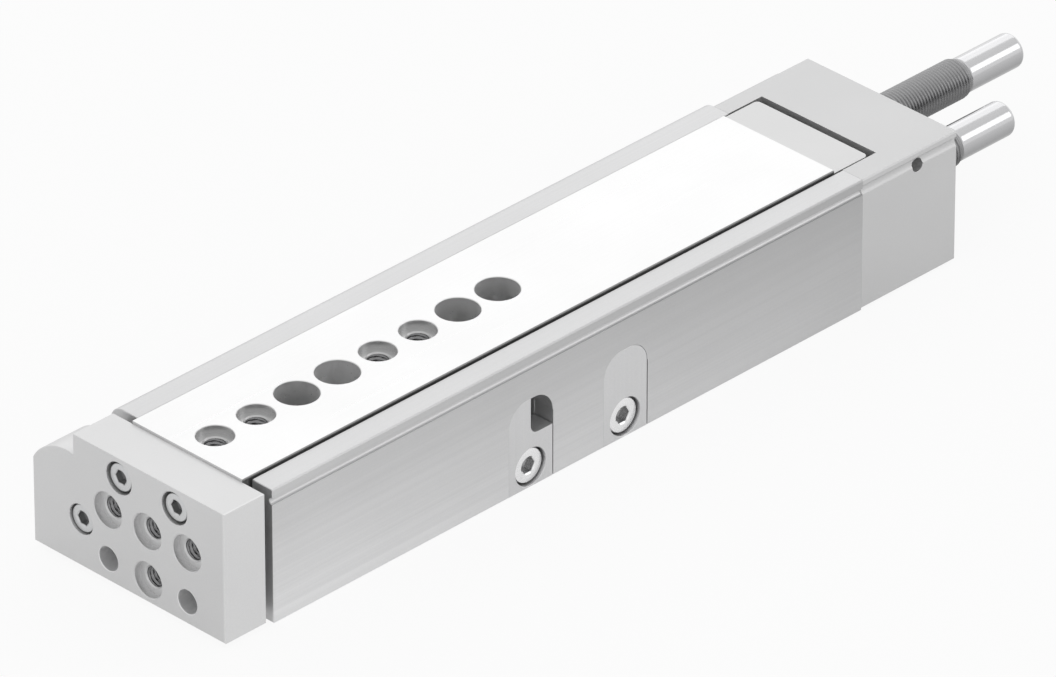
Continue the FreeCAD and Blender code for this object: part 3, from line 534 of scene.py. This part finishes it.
def thread_painted_shade(n):
    """Painted shade: the threads are darker below."""
    z = n.components()[2]
    return n.ramp(z, 0.5, 1.0, 0.0140, 0.0188)


MATERIALS = {}

# How often a drawn surface changes along and across its lines, per metre
ALONG_LINES, ACROSS_LINES = 6.0, 1500.0
BUMP_HEIGHT = 0.00002


def metal(name, colour, metallic, rough, drawn=None, drawn_depth=0.05, grain=0.03,
          rough_span=0.05, bump=0.08, tone=None):
    """Metal with a fine grain, slow unevenness and, where drawn names an axis, lines along it.
    tone, where given, paints light and shade into its colour.
    """
    n = Nodes(name)
    n.shader.inputs["Metallic"].default_value = metallic
    fine = n.noise(size=3500.0, detail=2.0)
    slow = n.noise(size=45.0, detail=2.0)
    factor = n.times(n.ramp(fine, 1 - grain, 1 + grain), n.ramp(slow, 0.985, 1.015))
    height = fine
    if drawn:
        stretch = [ALONG_LINES if axis == drawn else ACROSS_LINES for axis in "xyz"]
        height = n.noise(stretch, 1.0, 3.0, 0.6)
        factor = n.times(factor, n.ramp(height, 1 - drawn_depth, 1 + drawn_depth))
    if tone:
        factor = n.times(factor, tone(n))
    n.tint(colour, factor)
    n.link(n.ramp(height, rough - rough_span, rough + rough_span), n.shader.inputs["Roughness"])
    n.bump(height, bump, BUMP_HEIGHT)
    MATERIALS[name] = n.material


def polished(name, colour, rough, tone=None):
    metal(name, colour, 1.0, rough, grain=0.01, rough_span=0.02, bump=0.01, tone=tone)


def plated(name, tone=None):
    metal(name, (0.69, 0.695, 0.70), 0.8, 0.34, grain=0.04, tone=tone)


metal("anodised_housing", (0.745, 0.745, 0.749), 0.8, 0.42, "x", 0.035, 0.015, tone=side_painted_shade)
metal("anodised_cap", (0.655, 0.655, 0.657), 0.8, 0.46, grain=0.02)
metal("anodised_yoke", (0.735, 0.735, 0.737), 0.8, 0.46, grain=0.02, tone=yoke_painted_light)
metal("anodised_block", (0.70, 0.70, 0.70), 0.8, 0.46, grain=0.02)
metal("ground_table", (0.86, 0.86, 0.86), 0.8, 0.32, "x", 0.012, 0.008, tone=table_painted_shade)
metal("insert_steel", (0.73, 0.73, 0.735), 0.8, 0.42, "z", 0.02, 0.02)
# Painted shade: the guide steel is dark, so that the narrow gap beside the table reads as shadow.
metal("guide_steel", (0.30, 0.305, 0.31), 1.0, 0.35, "x")
metal("gear_steel", (0.42, 0.43, 0.44), 1.0, 0.35)
metal("bright_screw", (0.95, 0.95, 0.955), 1.0, 0.27, grain=0.02, tone=screw_painted_shade)
plated("plated_screw")
plated("plated_yoke_screw", head_painted_shade(0.0983))
plated("plated_cap_screw", head_painted_shade(0.0865))
plated("plated_block_screw", head_painted_shade(0.0687))
# Painted shade: the thread liners' steel is dark, to stand for the shade inside the holes.
metal("thread_steel", (0.28, 0.28, 0.285), 0.9, 0.3, grain=0.04)
metal("absorber_thread", (0.4, 0.4, 0.405), 1.0, 0.3, grain=0.05, tone=thread_painted_shade)
polished("absorber_chrome", (0.70, 0.70, 0.71), 0.15, chrome_painted_reflection)
polished("rod_chrome", (0.82, 0.82, 0.84), 0.1)
polished("ball_chrome", (0.75, 0.75, 0.77), 0.08)
metal("cage_brass", (0.72, 0.56, 0.28), 1.0, 0.35, "x")
metal("bush_bronze", (0.55, 0.38, 0.2), 1.0, 0.5, grain=0.08)
metal("turned_aluminium", (0.72, 0.72, 0.73), 0.8, 0.35)
metal("stop_steel", (0.5, 0.5, 0.51), 1.0, 0.3)
metal("magnet_ferrite", (0.08, 0.08, 0.085), 0.3, 0.6, grain=0.1)
metal("guide_plastic", (0.78, 0.76, 0.7), 0.0, 0.5, grain=0.04)
metal("seal_rubber", (0.03, 0.03, 0.032), 0.0, 0.6, grain=0.12)

for node_name, node in NODES.items():
    node.data.materials.clear()
    node.data.materials.append(MATERIALS[SLOT_OF[node_name]])


# Pieces


def finish_piece(obj, name, body, slot, stands_for=(), look=None, angle=32.0):
    """Names, shades and places a piece on its body. look names its material where that
    isn't the slot's own."""
    obj.name = name
    obj.data.name = name
    obj.data.materials.clear()
    obj.data.materials.append(MATERIALS[look or slot])
    for p in obj.data.polygons:
        p.use_smooth = True
        p.material_index = 0
    obj.data.set_sharp_from_angle(angle=math.radians(angle))
    normals = obj.modifiers.new("weighted", "WEIGHTED_NORMAL")
    normals.keep_sharp = True
    normals.weight = 100
    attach(obj, body)
    if stands_for:
        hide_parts(*stands_for)


def crown_start(wall_y, radius):
    """Angle in degrees at which the round roof meets a wall."""
    return math.degrees(math.acos((wall_y - CROWN_Y) / radius))


def crown(wall_y, radius):
    """The round roof over the cylinder, from a wall down to the left face."""
    start, end = crown_start(wall_y, radius), crown_start(LEFT_Y, radius)
    return arc(CROWN_Y, CROWN_Z, radius, start, end, 24)


def right_side(low_z, groove, low_edge):
    """Outline of the right side from the base up, seen from the front with y to the right."""
    return [(RIGHT_Y - low_edge, low_z), (RIGHT_Y, low_z + low_edge), *groove,
            (RIGHT_Y, BODY_TOP - BODY_EDGE), (RIGHT_Y - BODY_EDGE, BODY_TOP)]


def sensor_slot():
    """C-shaped slot in the left face, from its upper lip to its lower lip."""
    half, edge, depth = 1.3, 0.2, 4.2
    lip = math.degrees(math.asin(half / SLOT_R))
    chamber = arc(LEFT_Y + depth - SLOT_R, SLOT_Z, SLOT_R, 180 - lip, -180 + lip, 28)
    return [(LEFT_Y, SLOT_Z + half + edge), (LEFT_Y + edge, SLOT_Z + half), *chamber,
            (LEFT_Y + edge, SLOT_Z - half), (LEFT_Y, SLOT_Z - half - edge)]


def insert_outline(x, grow=0.0):
    """Outline of an insert in x and z, anticlockwise. A grown one runs out below the base."""
    half, r, top = INSERT_WIDTH / 2 + grow, INSERT_R + grow, INSERT_TOP + grow
    low = -0.5 if grow else 0.0
    return [(x - half, low), (x + half, low), *arc(x + half - r, top - r, r, 0, 90, 14),
            *arc(x - half + r, top - r, r, 90, 180, 14)]


def insert_cutters(x):
    """The pocket of an insert in the housing, with its screw's hole. The seam at the
    insert's rear edge is a little wider."""
    fit, below, seam_rear, seam_front = 0.05, -0.5, 0.18, 0.1
    half = INSERT_WIDTH / 2
    wide, seam_top = half + fit, INSERT_TOP - INSERT_R
    return [
        prism("cutter", insert_outline(x, fit), INSERT_Y - fit, RIGHT_Y + 1, along_y),
        block(x - half - seam_rear, x - half + seam_front, INSERT_Y, RIGHT_Y + 1, below, seam_top),
        block(x - wide, x + wide, FOOT_Y - fit, INSERT_Y + 0.2, below, FOOT_TOP + fit),
        block(x - wide, x + wide, ARM_Y - fit, INSERT_Y + 0.2, FOOT_TOP - fit, ARM_TOP + fit),
        bore((x, INSERT_Y + 0.1, SCREW_Z), RIGHT, M4_R, depth=10.05, steps=32),
    ]


def make_housing():
    lip = 0.15
    outline = right_side(0.0, arc(RIGHT_Y, GROOVE_Z, GROOVE_R, 270, 90, 14), 0.08)
    outline += [(CHANNEL_HALF + lip, BODY_TOP), (CHANNEL_HALF, BODY_TOP - lip),
                (CHANNEL_HALF, FLOOR_Z), (-CHANNEL_HALF, FLOOR_Z),
                (-CHANNEL_HALF, BODY_TOP - lip), (-CHANNEL_HALF - lip, BODY_TOP)]
    outline += arc(RAIL_Y, BODY_TOP - SHOULDER_R, SHOULDER_R, 90, 180, 14)
    outline += crown(RAIL_Y - SHOULDER_R, CROWN_R)
    outline += sensor_slot()
    outline += [(LEFT_Y, BODY_EDGE), (LEFT_Y + BODY_EDGE, 0.0)]
    body = prism("housing", outline, JOINT_X, FRONT_X, along_x, (0.0, 0.12))
    over_floor, rod_front = FLOOR_Z + 1, (FRONT_X, ROD_Y, ROD_Z)
    cutters = [
        block(JOINT_X - 1, TROUGH_FRONT, TROUGH_LEFT, TROUGH_RIGHT, TROUGH_Z, over_floor),
        block(JOINT_X - 1, TROUGH_FRONT, LANE_LEFT, TROUGH_RIGHT, LANE_Z, LANE_TOP),
        block(STOP_X - 11.0, STOP_X + 0.3, LANE_LEFT, TROUGH_RIGHT, LANE_Z, over_floor),
        block(*DRIVE_LOWER, DRIVE_LEFT, DRIVE_RIGHT, DRIVE_LOWER_Z, over_floor),
        bore((JOINT_X, ROD_Y, ROD_Z), AFT, CYLINDER_R, depth=110.3, edge=0.3),
        bore(rod_front, FORE, ROD_PASSAGE_R, depth=45.0, edge=0.2),
        bore(rod_front, FORE, BUSH_R, depth=20.0, edge=0.3),
        bore((RING_X, ROD_Y, ROD_Z), FORE, RING_R, depth=RING_WIDTH, over=0.0),
    ]
    for x in PORTS:
        cutters.append(bore((x, LEFT_Y, ROD_Z), LEFT, PORT_R, depth=9.0, edge=0.3))
    for x in (STOP_X, BLANK_X):
        cutters += insert_cutters(x)
    for x in BASE_SCREWS:
        cutters += [
            bore((x, 0, BASE_WEB_Z), DOWN, BASE_SCREW_R, 1.0, over=BASE_WEB_Z + 1, steps=40),
            bore((x, 0, 0), DOWN, CENTRING_R, CENTRING_DEPTH, edge=0.2),
            bore((x, 0, FLOOR_Z), UP, BASE_HEAD_R, FLOOR_Z - BASE_WEB_Z),
        ]
    for x in BASE_THREADS:
        cutters += [bore((x, 0, 0), DOWN, M5_R, depth=8.0, edge=0.2, steps=40),
                    bore((x, 0, 0), DOWN, M5_CORE_R, depth=20.0, steps=40)]
    for y, z in CAP_SCREWS:
        cutters.append(bore((JOINT_X, y, z), AFT, M3_R, depth=8.6, steps=32))
    cut(body, cutters)
    finish_piece(body, "housing_body", "housing", "anodised_housing", ("housing",))


def make_cap():
    dip = arc(DIP_Y, DIP_Z, DIP_R, 180 + DIP_SPREAD, 180 - DIP_SPREAD, 14)
    outline = right_side(CAP_LIFT, dip, BODY_EDGE)
    outline += [(RAIL_Y + BODY_EDGE, BODY_TOP), (RAIL_Y, BODY_TOP - BODY_EDGE)]
    outline += crown(RAIL_Y, CAP_CROWN_R)
    outline += [(LEFT_Y, CAP_LIFT + BODY_EDGE), (LEFT_Y + BODY_EDGE, CAP_LIFT)]
    body = prism("rear_cap", outline, REAR_X, JOINT_X, along_x, (0.3, 0.08))
    ahead = JOINT_X + 1
    cutters = [
        block(POCKET_REAR, ahead, -CHANNEL_HALF, CHANNEL_HALF, FLOOR_Z, BODY_TOP + 1),
        block(POCKET_REAR, ahead, TROUGH_LEFT, TROUGH_RIGHT, TROUGH_Z, FLOOR_Z + 1),
        block(POCKET_REAR, ahead, LANE_LEFT, TROUGH_RIGHT, LANE_Z, LANE_TOP),
        bore((REAR_X, ADVANCE_Y, ABSORBER_Z), AFT, ABSORBER_PASSAGE_R, depth=17.0, edge=0.3),
        bore((REAR_X, RETRACT_Y, ABSORBER_Z), AFT, ABSORBER_R, depth=26.0, edge=0.3),
        bore((SIDE_HOLE_X, RIGHT_Y, SIDE_HOLE_Z), RIGHT, SIDE_HOLE_R, depth=4.0, edge=0.12,
             steps=48),
    ]
    for y, z in CAP_SCREWS:
        cutters += [bore((REAR_X, y, z), AFT, HEAD_R, HEAD_DEPTH, edge=0.2),
                    bore((REAR_X, y, z), AFT, M3_R, depth=27.0, steps=32)]
    cut(body, cutters)
    finish_piece(body, "rear_cap_body", "housing", "anodised_cap", ("rear_cap",))


def make_threads(name, places, axis, depth):
    """The thread liners of one part, as one piece."""
    threads = [inner_thread(place, axis, depth) for place in places]
    finish_piece(join(threads), name, "table", "gear_steel", look="thread_steel", angle=40)


def make_yoke():
    outline = [(RIGHT_Y, YOKE_LOW), (RIGHT_Y, BODY_TOP), (PLATEAU_Y, BODY_TOP)]
    outline += crown(PLATEAU_Y, YOKE_CROWN_R)
    outline += [(LEFT_Y, YOKE_LOW)]
    body = prism("yoke", outline, YOKE_BACK, YOKE_FRONT, along_x, (0.15, 0.16))
    through, floor_x = 12.0, YOKE_FRONT - CENTRING_DEPTH
    cutters = []
    for y, z in YOKE_THREADS:
        cutters += [bore((YOKE_FRONT, y, z), FORE, CENTRING_R, CENTRING_DEPTH, edge=0.2),
                    bore((floor_x, y, z), FORE, M4_R, through, edge=0.25, over=0.5)]
    for y, z in YOKE_PLAIN:
        cutters.append(bore((YOKE_FRONT, y, z), FORE, YOKE_PLAIN_R, through, edge=0.12))
    heads = [(y, z, WIDE_HEAD_R) for y, z in YOKE_SCREWS] + [(ROD_Y, ROD_Z, HEAD_R)]
    for y, z, radius in heads:
        cutters += [bore((YOKE_FRONT, y, z), FORE, radius, HEAD_DEPTH, edge=0.15),
                    bore((YOKE_FRONT, y, z), FORE, M3_R, through)]
    cut(body, cutters)
    finish_piece(body, "yoke_body", "table", "anodised_yoke", ("yoke_plate",))
    mouths = [(YOKE_FRONT - THREAD_START, y, z) for y, z in YOKE_THREADS]
    make_threads("yoke_threads", mouths, FORE, 8.1)


def make_table():
    edge = 0.2
    outline = [(TABLE_BODY_HALF, TABLE_LOW)]
    outline += arc(RACEWAY_Y, RACEWAY_Z, RACEWAY_R, 244, 116, 12)
    outline += [(TABLE_BODY_HALF, FLANGE_Z), (TABLE_HALF, FLANGE_Z),
                (TABLE_HALF, TABLE_TOP - edge), (TABLE_HALF - edge, TABLE_TOP)]
    outline += [(-y, z) for y, z in reversed(outline)]
    body = prism("table", outline, TABLE_REAR, YOKE_BACK, along_x)
    cutters = [block(*DRIVE_UPPER, DRIVE_LEFT, DRIVE_RIGHT, TABLE_LOW - 1, DRIVE_UPPER_Z)]
    floor_z = TABLE_TOP - CENTRING_DEPTH
    for x in THREAD_HOLES:
        cutters += [bore((x, 0, TABLE_TOP), UP, CENTRING_R, CENTRING_DEPTH, edge=0.12),
                    bore((x, 0, floor_z), UP, M4_R, depth=9.0, edge=0.25, over=0.5)]
    for x in ACCESS_HOLES:
        cutters.append(bore((x, 0, TABLE_TOP), UP, ACCESS_R, depth=10.0, edge=0.12))
    for y, z in YOKE_SCREWS:
        cutters.append(bore((YOKE_BACK, y, z), FORE, M3_R, depth=9.6, steps=32))
    for y, z in BLOCK_SCREWS:
        cutters.append(bore((TABLE_REAR, y, z), AFT, M3_R, depth=9.0, steps=32))
    cut(body, cutters)
    finish_piece(body, "table_body", "table", "ground_table", ("table",))
    mouths = [(x, 0, TABLE_TOP - THREAD_START) for x in THREAD_HOLES]
    make_threads("table_threads", mouths, UP, 6.7)


def make_block():
    """The stop block: a plate behind the table and a lobe that runs in the trough."""
    r, low, half = 1.0, 18.3, TABLE_BODY_HALF
    plan = [(TABLE_REAR, -TABLE_HALF), (TABLE_REAR, TABLE_HALF)]
    plan += arc(BLOCK_REAR + r, TABLE_HALF - r, r, 90, 180, 8)
    plan += arc(BLOCK_REAR + r, -TABLE_HALF + r, r, 180, 270, 8)
    upper = prism("block", plan, FLANGE_Z, BODY_TOP, along_z, (0.0, 0.1))
    lobe_left, lobe_step, lobe_right, lobe_z, lobe_low = -11.0, 3.5, 12.1, 12.9, 9.9
    section = [(-half, low), (lobe_left, low), (lobe_left, lobe_z), (lobe_step, lobe_z),
               (lobe_step, lobe_low), (lobe_right, lobe_low), (lobe_right, low),
               (half, low), (half, FLANGE_Z + 0.2), (-half, FLANGE_Z + 0.2)]
    unite(upper, [prism("lobe", section, BLOCK_REAR, TABLE_REAR, along_x)])
    cutters = [bore((BLOCK_REAR, ADVANCE_Y, ABSORBER_Z), AFT, ABSORBER_R, depth=10.0, edge=0.2)]
    for y, z in BLOCK_SCREWS:
        cutters += [bore((BLOCK_REAR, y, z), AFT, HEAD_R, HEAD_DEPTH, edge=0.1, steps=48),
                    bore((BLOCK_REAR, y, z), AFT, M3_R, depth=10.0, steps=32)]
    cut(upper, cutters)
    finish_piece(upper, "stop_block_body", "table", "anodised_block", ("rear_stop_block",))


def make_insert(x, name, node, window):
    body = prism("insert", insert_outline(x), INSERT_Y, RIGHT_Y, along_y, (0.0, 0.05))
    half, inner = INSERT_WIDTH / 2, INSERT_Y + 0.05
    parts = [block(x - half, x + half, FOOT_Y, inner, 0.0, FOOT_TOP)]
    if window:
        parts.append(block(x - half, x + half, ARM_Y, inner, FOOT_TOP, ARM_TOP))
    unite(body, parts)
    screw = (x, RIGHT_Y, SCREW_Z)
    cutters = [bore(screw, RIGHT, SIDE_HEAD_R, SIDE_HEAD_DEPTH, edge=0.1),
               bore(screw, RIGHT, M4_R, depth=15.0)]
    if window:
        r, low, high, rear = 1.8, 10.8, 20.0, x - 7
        outline = [(rear, low), (x - r, low), *arc(x - r, low + r, r, 270, 360, 10)[1:],
                   (x, high), (rear, high)]
        cutters += [prism("cutter", outline, INSERT_Y, RIGHT_Y + 1, along_y),
                    block(rear, x, ARM_Y - 1, INSERT_Y + 0.1, LANE_Z, high)]
    cut(body, cutters)
    finish_piece(body, name, "housing", "insert_steel", (node,))


def hexagon(angle, flats):
    """Radius of a hexagon at an angle."""
    a = (angle % (math.pi / 3)) - math.pi / 6
    return flats / 2 / math.cos(a)


def socket_screw(origin, axis, size, length):
    """A socket head screw whose head's top is at origin and faces along the axis."""
    shank, head, height, key, depth = size
    corner, end = key / math.sqrt(3), -height - length
    profile = [
        (-depth - 0.35, 0), (-depth, key / 2 * 0.9), (-depth, corner), (-0.22, corner),
        (0.0, corner + 0.12), (0.0, head - 0.34), (-0.08, head - 0.14), (-0.3, head),
        (-height, head), (-height, shank), (end + 0.3, shank), (end, shank - 0.3), (end, 0),
    ]
    socket_rings = (2, 3)

    def shape(k, angle, radius):
        return hexagon(angle, key) if k in socket_rings else radius

    return revolve("screw", origin, axis, profile, ROUND, shape)


def make_screws():
    yoke_x, cap_x, block_x = YOKE_FRONT - HEAD_DROP, REAR_X + HEAD_DROP, BLOCK_REAR + HEAD_DROP
    side_y = RIGHT_Y - SIDE_HEAD_DROP
    groups = [
        ("yoke_screw_heads", "table", "yoke_screws", "plated_yoke_screw", M3, 16.0, FORE,
         [(yoke_x, y, z) for y, z in YOKE_SCREWS]),
        ("rod_screw_head", "table", "rod_screw", "plated_yoke_screw", M3, 14.0, FORE,
         [(yoke_x, ROD_Y, ROD_Z)]),
        ("cap_screw_heads", "housing", "rear_cap_screws", "plated_cap_screw", M3, 30.0, AFT,
         [(cap_x, y, z) for y, z in CAP_SCREWS]),
        ("block_screw_heads", "table", "stop_block_screws", "plated_block_screw", M3, 14.0, AFT,
         [(block_x, y, z) for y, z in BLOCK_SCREWS]),
        ("stop_insert_screw_head", "housing", "stop_insert_screw", "bright_screw", M4, 10.0, RIGHT,
         [(STOP_X, side_y, SCREW_Z)]),
        ("blank_insert_screw_head", "housing", "blank_insert_screw", "bright_screw", M4, 10.0,
         RIGHT, [(BLANK_X, side_y, SCREW_Z)]),
    ]
    for name, body, node, look, size, length, axis, places in groups:
        screws = [socket_screw(place, axis, size, length) for place in places]
        finish_piece(join(screws), name, body, SLOT_OF[node], (node,), look)


def make_barrel(kind, front, y):
    """Threaded barrel of one absorber, with the bore of its plunger at the front."""
    pitch, major, minor, end_r = 0.75, 4.0, 3.62, 3.45
    rear_taper, front_taper = 1.4, 0.8
    bore_r, bore_depth = 1.56, 14.8
    per_turn, around = 10, 72
    rear = front - THREAD_LENGTH
    count = int((THREAD_LENGTH - 0.2) / pitch * per_turn)
    angles = [2 * math.pi * i / around for i in range(around)]
    points, faces = [], []

    def add_point(x, r, a):
        points.append((x, y + r * math.cos(a), ABSORBER_Z + r * math.sin(a)))

    for k in range(count + 1):
        x = rear + THREAD_LENGTH * k / count
        taper = min(1.0, (x - rear) / rear_taper, (front - x) / front_taper)
        limit = end_r + (major - end_r) * max(0.0, taper)
        for i, a in enumerate(angles):
            r = minor + (major - minor) * thread_wave(x / pitch - i / around)
            add_point(x, min(r, limit), a)
    mouth = len(points)
    bottom = mouth + around
    for x in (front, front - bore_depth):
        for a in angles:
            add_point(x, bore_r, a)
    for k in range(count):
        low, high = k * around, (k + 1) * around
        for i in range(around):
            j = (i + 1) % around
            faces.append([low + i, high + i, high + j, low + j])
    faces.append(list(range(around)))
    last = count * around
    for i in range(around):
        j = (i + 1) % around
        faces.append([last + i, mouth + i, mouth + j, last + j])
        faces.append([mouth + i, bottom + i, bottom + j, mouth + j])
    faces.append([bottom + i for i in range(around)][::-1])
    barrel = add_mesh("barrel", points, faces)
    barrel.data.validate()
    flip_if_inside_out(barrel)
    finish_piece(barrel, kind + "_absorber_thread", kind + "_absorber", "absorber_thread",
                 (kind + "_absorber_barrel",), angle=60)


def make_tail(kind, rear, y):
    """Bright end of one absorber, with a rounded edge and a hexagon socket."""
    corner, round_r, flat_r, length = ABSORBER_KEY / math.sqrt(3), 1.1, 2.4, TAIL_LENGTH
    profile = [(0.0, 0), (0.0, 3.3), (0.15, 3.42), (0.3, 3.5), (length - round_r, 3.5)]
    profile += [(length - round_r + round_r * math.sin(t), flat_r + round_r * math.cos(t))
                for t in [math.pi / 2 * i / 8 for i in range(1, 9)]]
    profile += [(length, corner + 0.15), (length - 0.2, corner), (length - KEY_DEPTH, corner),
                (length - KEY_DEPTH, 0.8), (length - KEY_DEPTH - 0.3, 0)]
    socket_rings = (len(profile) - 4, len(profile) - 3)

    def shape(k, angle, radius):
        return hexagon(angle, ABSORBER_KEY) if k in socket_rings else radius

    tail = revolve("tail", (rear, y, ABSORBER_Z), AFT, profile, 96, shape)
    finish_piece(tail, kind + "_absorber_end", kind + "_absorber", "absorber_chrome",
                 (kind + "_absorber_tail",), angle=50)


make_housing()
make_cap()
make_yoke()
make_table()
make_block()
make_insert(STOP_X, "stop_insert_body", "stop_insert", True)
make_insert(BLANK_X, "blank_insert_body", "blank_insert", False)
make_screws()
for kind, front, side in (("advance", TABLE_REAR, ADVANCE_Y),
                          ("retract", RETRACT_FRONT, RETRACT_Y)):
    make_barrel(kind, front, side)
    make_tail(kind, front - THREAD_LENGTH, side)

for node in NODES.values():
    if not node.hide_render:
        for p in node.data.polygons:
            p.use_smooth = True
        node.data.set_sharp_from_angle(angle=math.radians(30))


# Floor, light and camera


def background_rays(tree):
    """One for the rays that show the background: from the camera, off metal and through glass."""
    path = new_node(tree, "ShaderNodeLightPath")
    found = path.outputs["Is Camera Ray"]
    for other in ("Is Glossy Ray", "Is Transmission Ray"):
        node = new_node(tree, "ShaderNodeMath", operation="MAXIMUM")
        tree.links.new(found, node.inputs[0])
        tree.links.new(path.outputs[other], node.inputs[1])
        found = node.outputs[0]
    return found


def make_floor():
    """A wide pale floor. It glows a little in reflections and twice as much for the camera,
    and keeps the object's shadow."""
    half, level, glow_share = 3000.0, -0.15, 0.45
    corners = [(x * half, y * half, level) for x, y in ((-1, -1), (1, -1), (1, 1), (-1, 1))]
    floor = add_mesh("floor", corners, [[0, 1, 2, 3]])
    material = bpy.data.materials.new("floor")
    material.use_nodes = True
    tree = material.node_tree
    tree.nodes.clear()
    out = new_node(tree, "ShaderNodeOutputMaterial")
    mix = new_node(tree, "ShaderNodeMixShader")
    diffuse = new_node(tree, "ShaderNodeBsdfDiffuse", {"Color": (0.86, 0.86, 0.86, 1)})
    glow = new_node(tree, "ShaderNodeEmission", {"Color": (1, 1, 1, 1), "Strength": 1.0})
    share = new_node(tree, "ShaderNodeMath", {1: glow_share}, operation="MULTIPLY_ADD")
    path = new_node(tree, "ShaderNodeLightPath")
    camera_share = new_node(tree, "ShaderNodeMath", {1: glow_share}, operation="MULTIPLY")
    tree.links.new(path.outputs["Is Camera Ray"], camera_share.inputs[0])
    tree.links.new(background_rays(tree), share.inputs[0])
    tree.links.new(camera_share.outputs[0], share.inputs[2])
    tree.links.new(share.outputs[0], mix.inputs["Fac"])
    tree.links.new(diffuse.outputs[0], mix.inputs[1])
    tree.links.new(glow.outputs[0], mix.inputs[2])
    tree.links.new(mix.outputs[0], out.inputs["Surface"])
    floor.data.materials.append(material)


def make_world():
    """Soft light that grows with height, and a backdrop that darkens towards the top."""
    world = bpy.data.worlds.new("studio")
    bpy.context.scene.world = world
    world.use_nodes = True
    tree = world.node_tree
    tree.nodes.clear()
    out = new_node(tree, "ShaderNodeOutputWorld")
    back = new_node(tree, "ShaderNodeBackground", {"Color": (1, 1, 1, 1)})
    place = new_node(tree, "ShaderNodeTexCoord")
    split = new_node(tree, "ShaderNodeSeparateXYZ")
    light = new_node(tree, "ShaderNodeMapRange",
                     {"From Min": -0.1, "From Max": 1.0, "To Min": 0.42, "To Max": 0.9})
    backdrop = new_node(tree, "ShaderNodeMapRange",
                        {"From Min": 0.15, "From Max": 0.75, "To Min": 1.0, "To Max": 0.62})
    shown = new_node(tree, "ShaderNodeMath", operation="MULTIPLY")
    strength = new_node(tree, "ShaderNodeMath", operation="MAXIMUM")
    tree.links.new(place.outputs["Generated"], split.inputs[0])
    tree.links.new(split.outputs["Z"], light.inputs["Value"])
    tree.links.new(split.outputs["Z"], backdrop.inputs["Value"])
    tree.links.new(background_rays(tree), shown.inputs[0])
    tree.links.new(backdrop.outputs[0], shown.inputs[1])
    tree.links.new(shown.outputs[0], strength.inputs[0])
    tree.links.new(light.outputs[0], strength.inputs[1])
    tree.links.new(strength.outputs[0], back.inputs["Strength"])
    tree.links.new(back.outputs[0], out.inputs["Surface"])


def area_light(name, place, size, radiance):
    """A soft box that faces the object. Its radiance is on the scale where white is 1."""
    data = bpy.data.lights.new(name, "AREA")
    data.shape = "RECTANGLE"
    data.size, data.size_y = size
    data.energy = radiance * math.pi * size[0] * size[1]
    light = bpy.data.objects.new(name, data)
    bpy.context.scene.collection.objects.link(light)
    light.location = place
    light.rotation_mode = "QUATERNION"
    light.rotation_quaternion = (-Vector(place)).to_track_quat("-Z", "Y")


def make_camera():
    azimuth, elevation, roll = (math.radians(v) for v in (44.86, 31.34, -0.04))
    target = Vector((22.0, 0.0, 18.0))
    shift_x, shift_y, distance = -12.46, -3.35, 2298.2
    sensor, focal_pixels, image_width = 36.0, 12892.7, 1056
    right = Vector((-math.sin(azimuth), math.cos(azimuth), 0.0))
    level = math.cos(elevation)
    back = Vector((math.cos(azimuth) * level, math.sin(azimuth) * level, math.sin(elevation)))
    up = back.cross(right)
    c, s = math.cos(roll), math.sin(roll)
    right, up = c * right + s * up, -s * right + c * up
    place = target - shift_x * right - shift_y * up + distance * back
    data = bpy.data.cameras.new("camera")
    data.sensor_width = sensor
    data.lens = sensor * focal_pixels / image_width
    data.clip_start, data.clip_end = 0.1, 50.0
    camera = bpy.data.objects.new("camera", data)
    bpy.context.scene.collection.objects.link(camera)
    turn = Matrix((right, up, back)).transposed().to_4x4()
    camera.matrix_world = Matrix.Translation(place * MM) @ turn
    bpy.context.scene.camera = camera


make_floor()
make_world()
area_light("back", (-0.95, -0.95, 0.85), (1.6, 1.0), 0.5)
area_light("side", (-0.84, 0.89, 0.66), (0.7, 0.5), 0.9)
make_camera()
bpy.context.scene.view_settings.view_transform = "Standard"
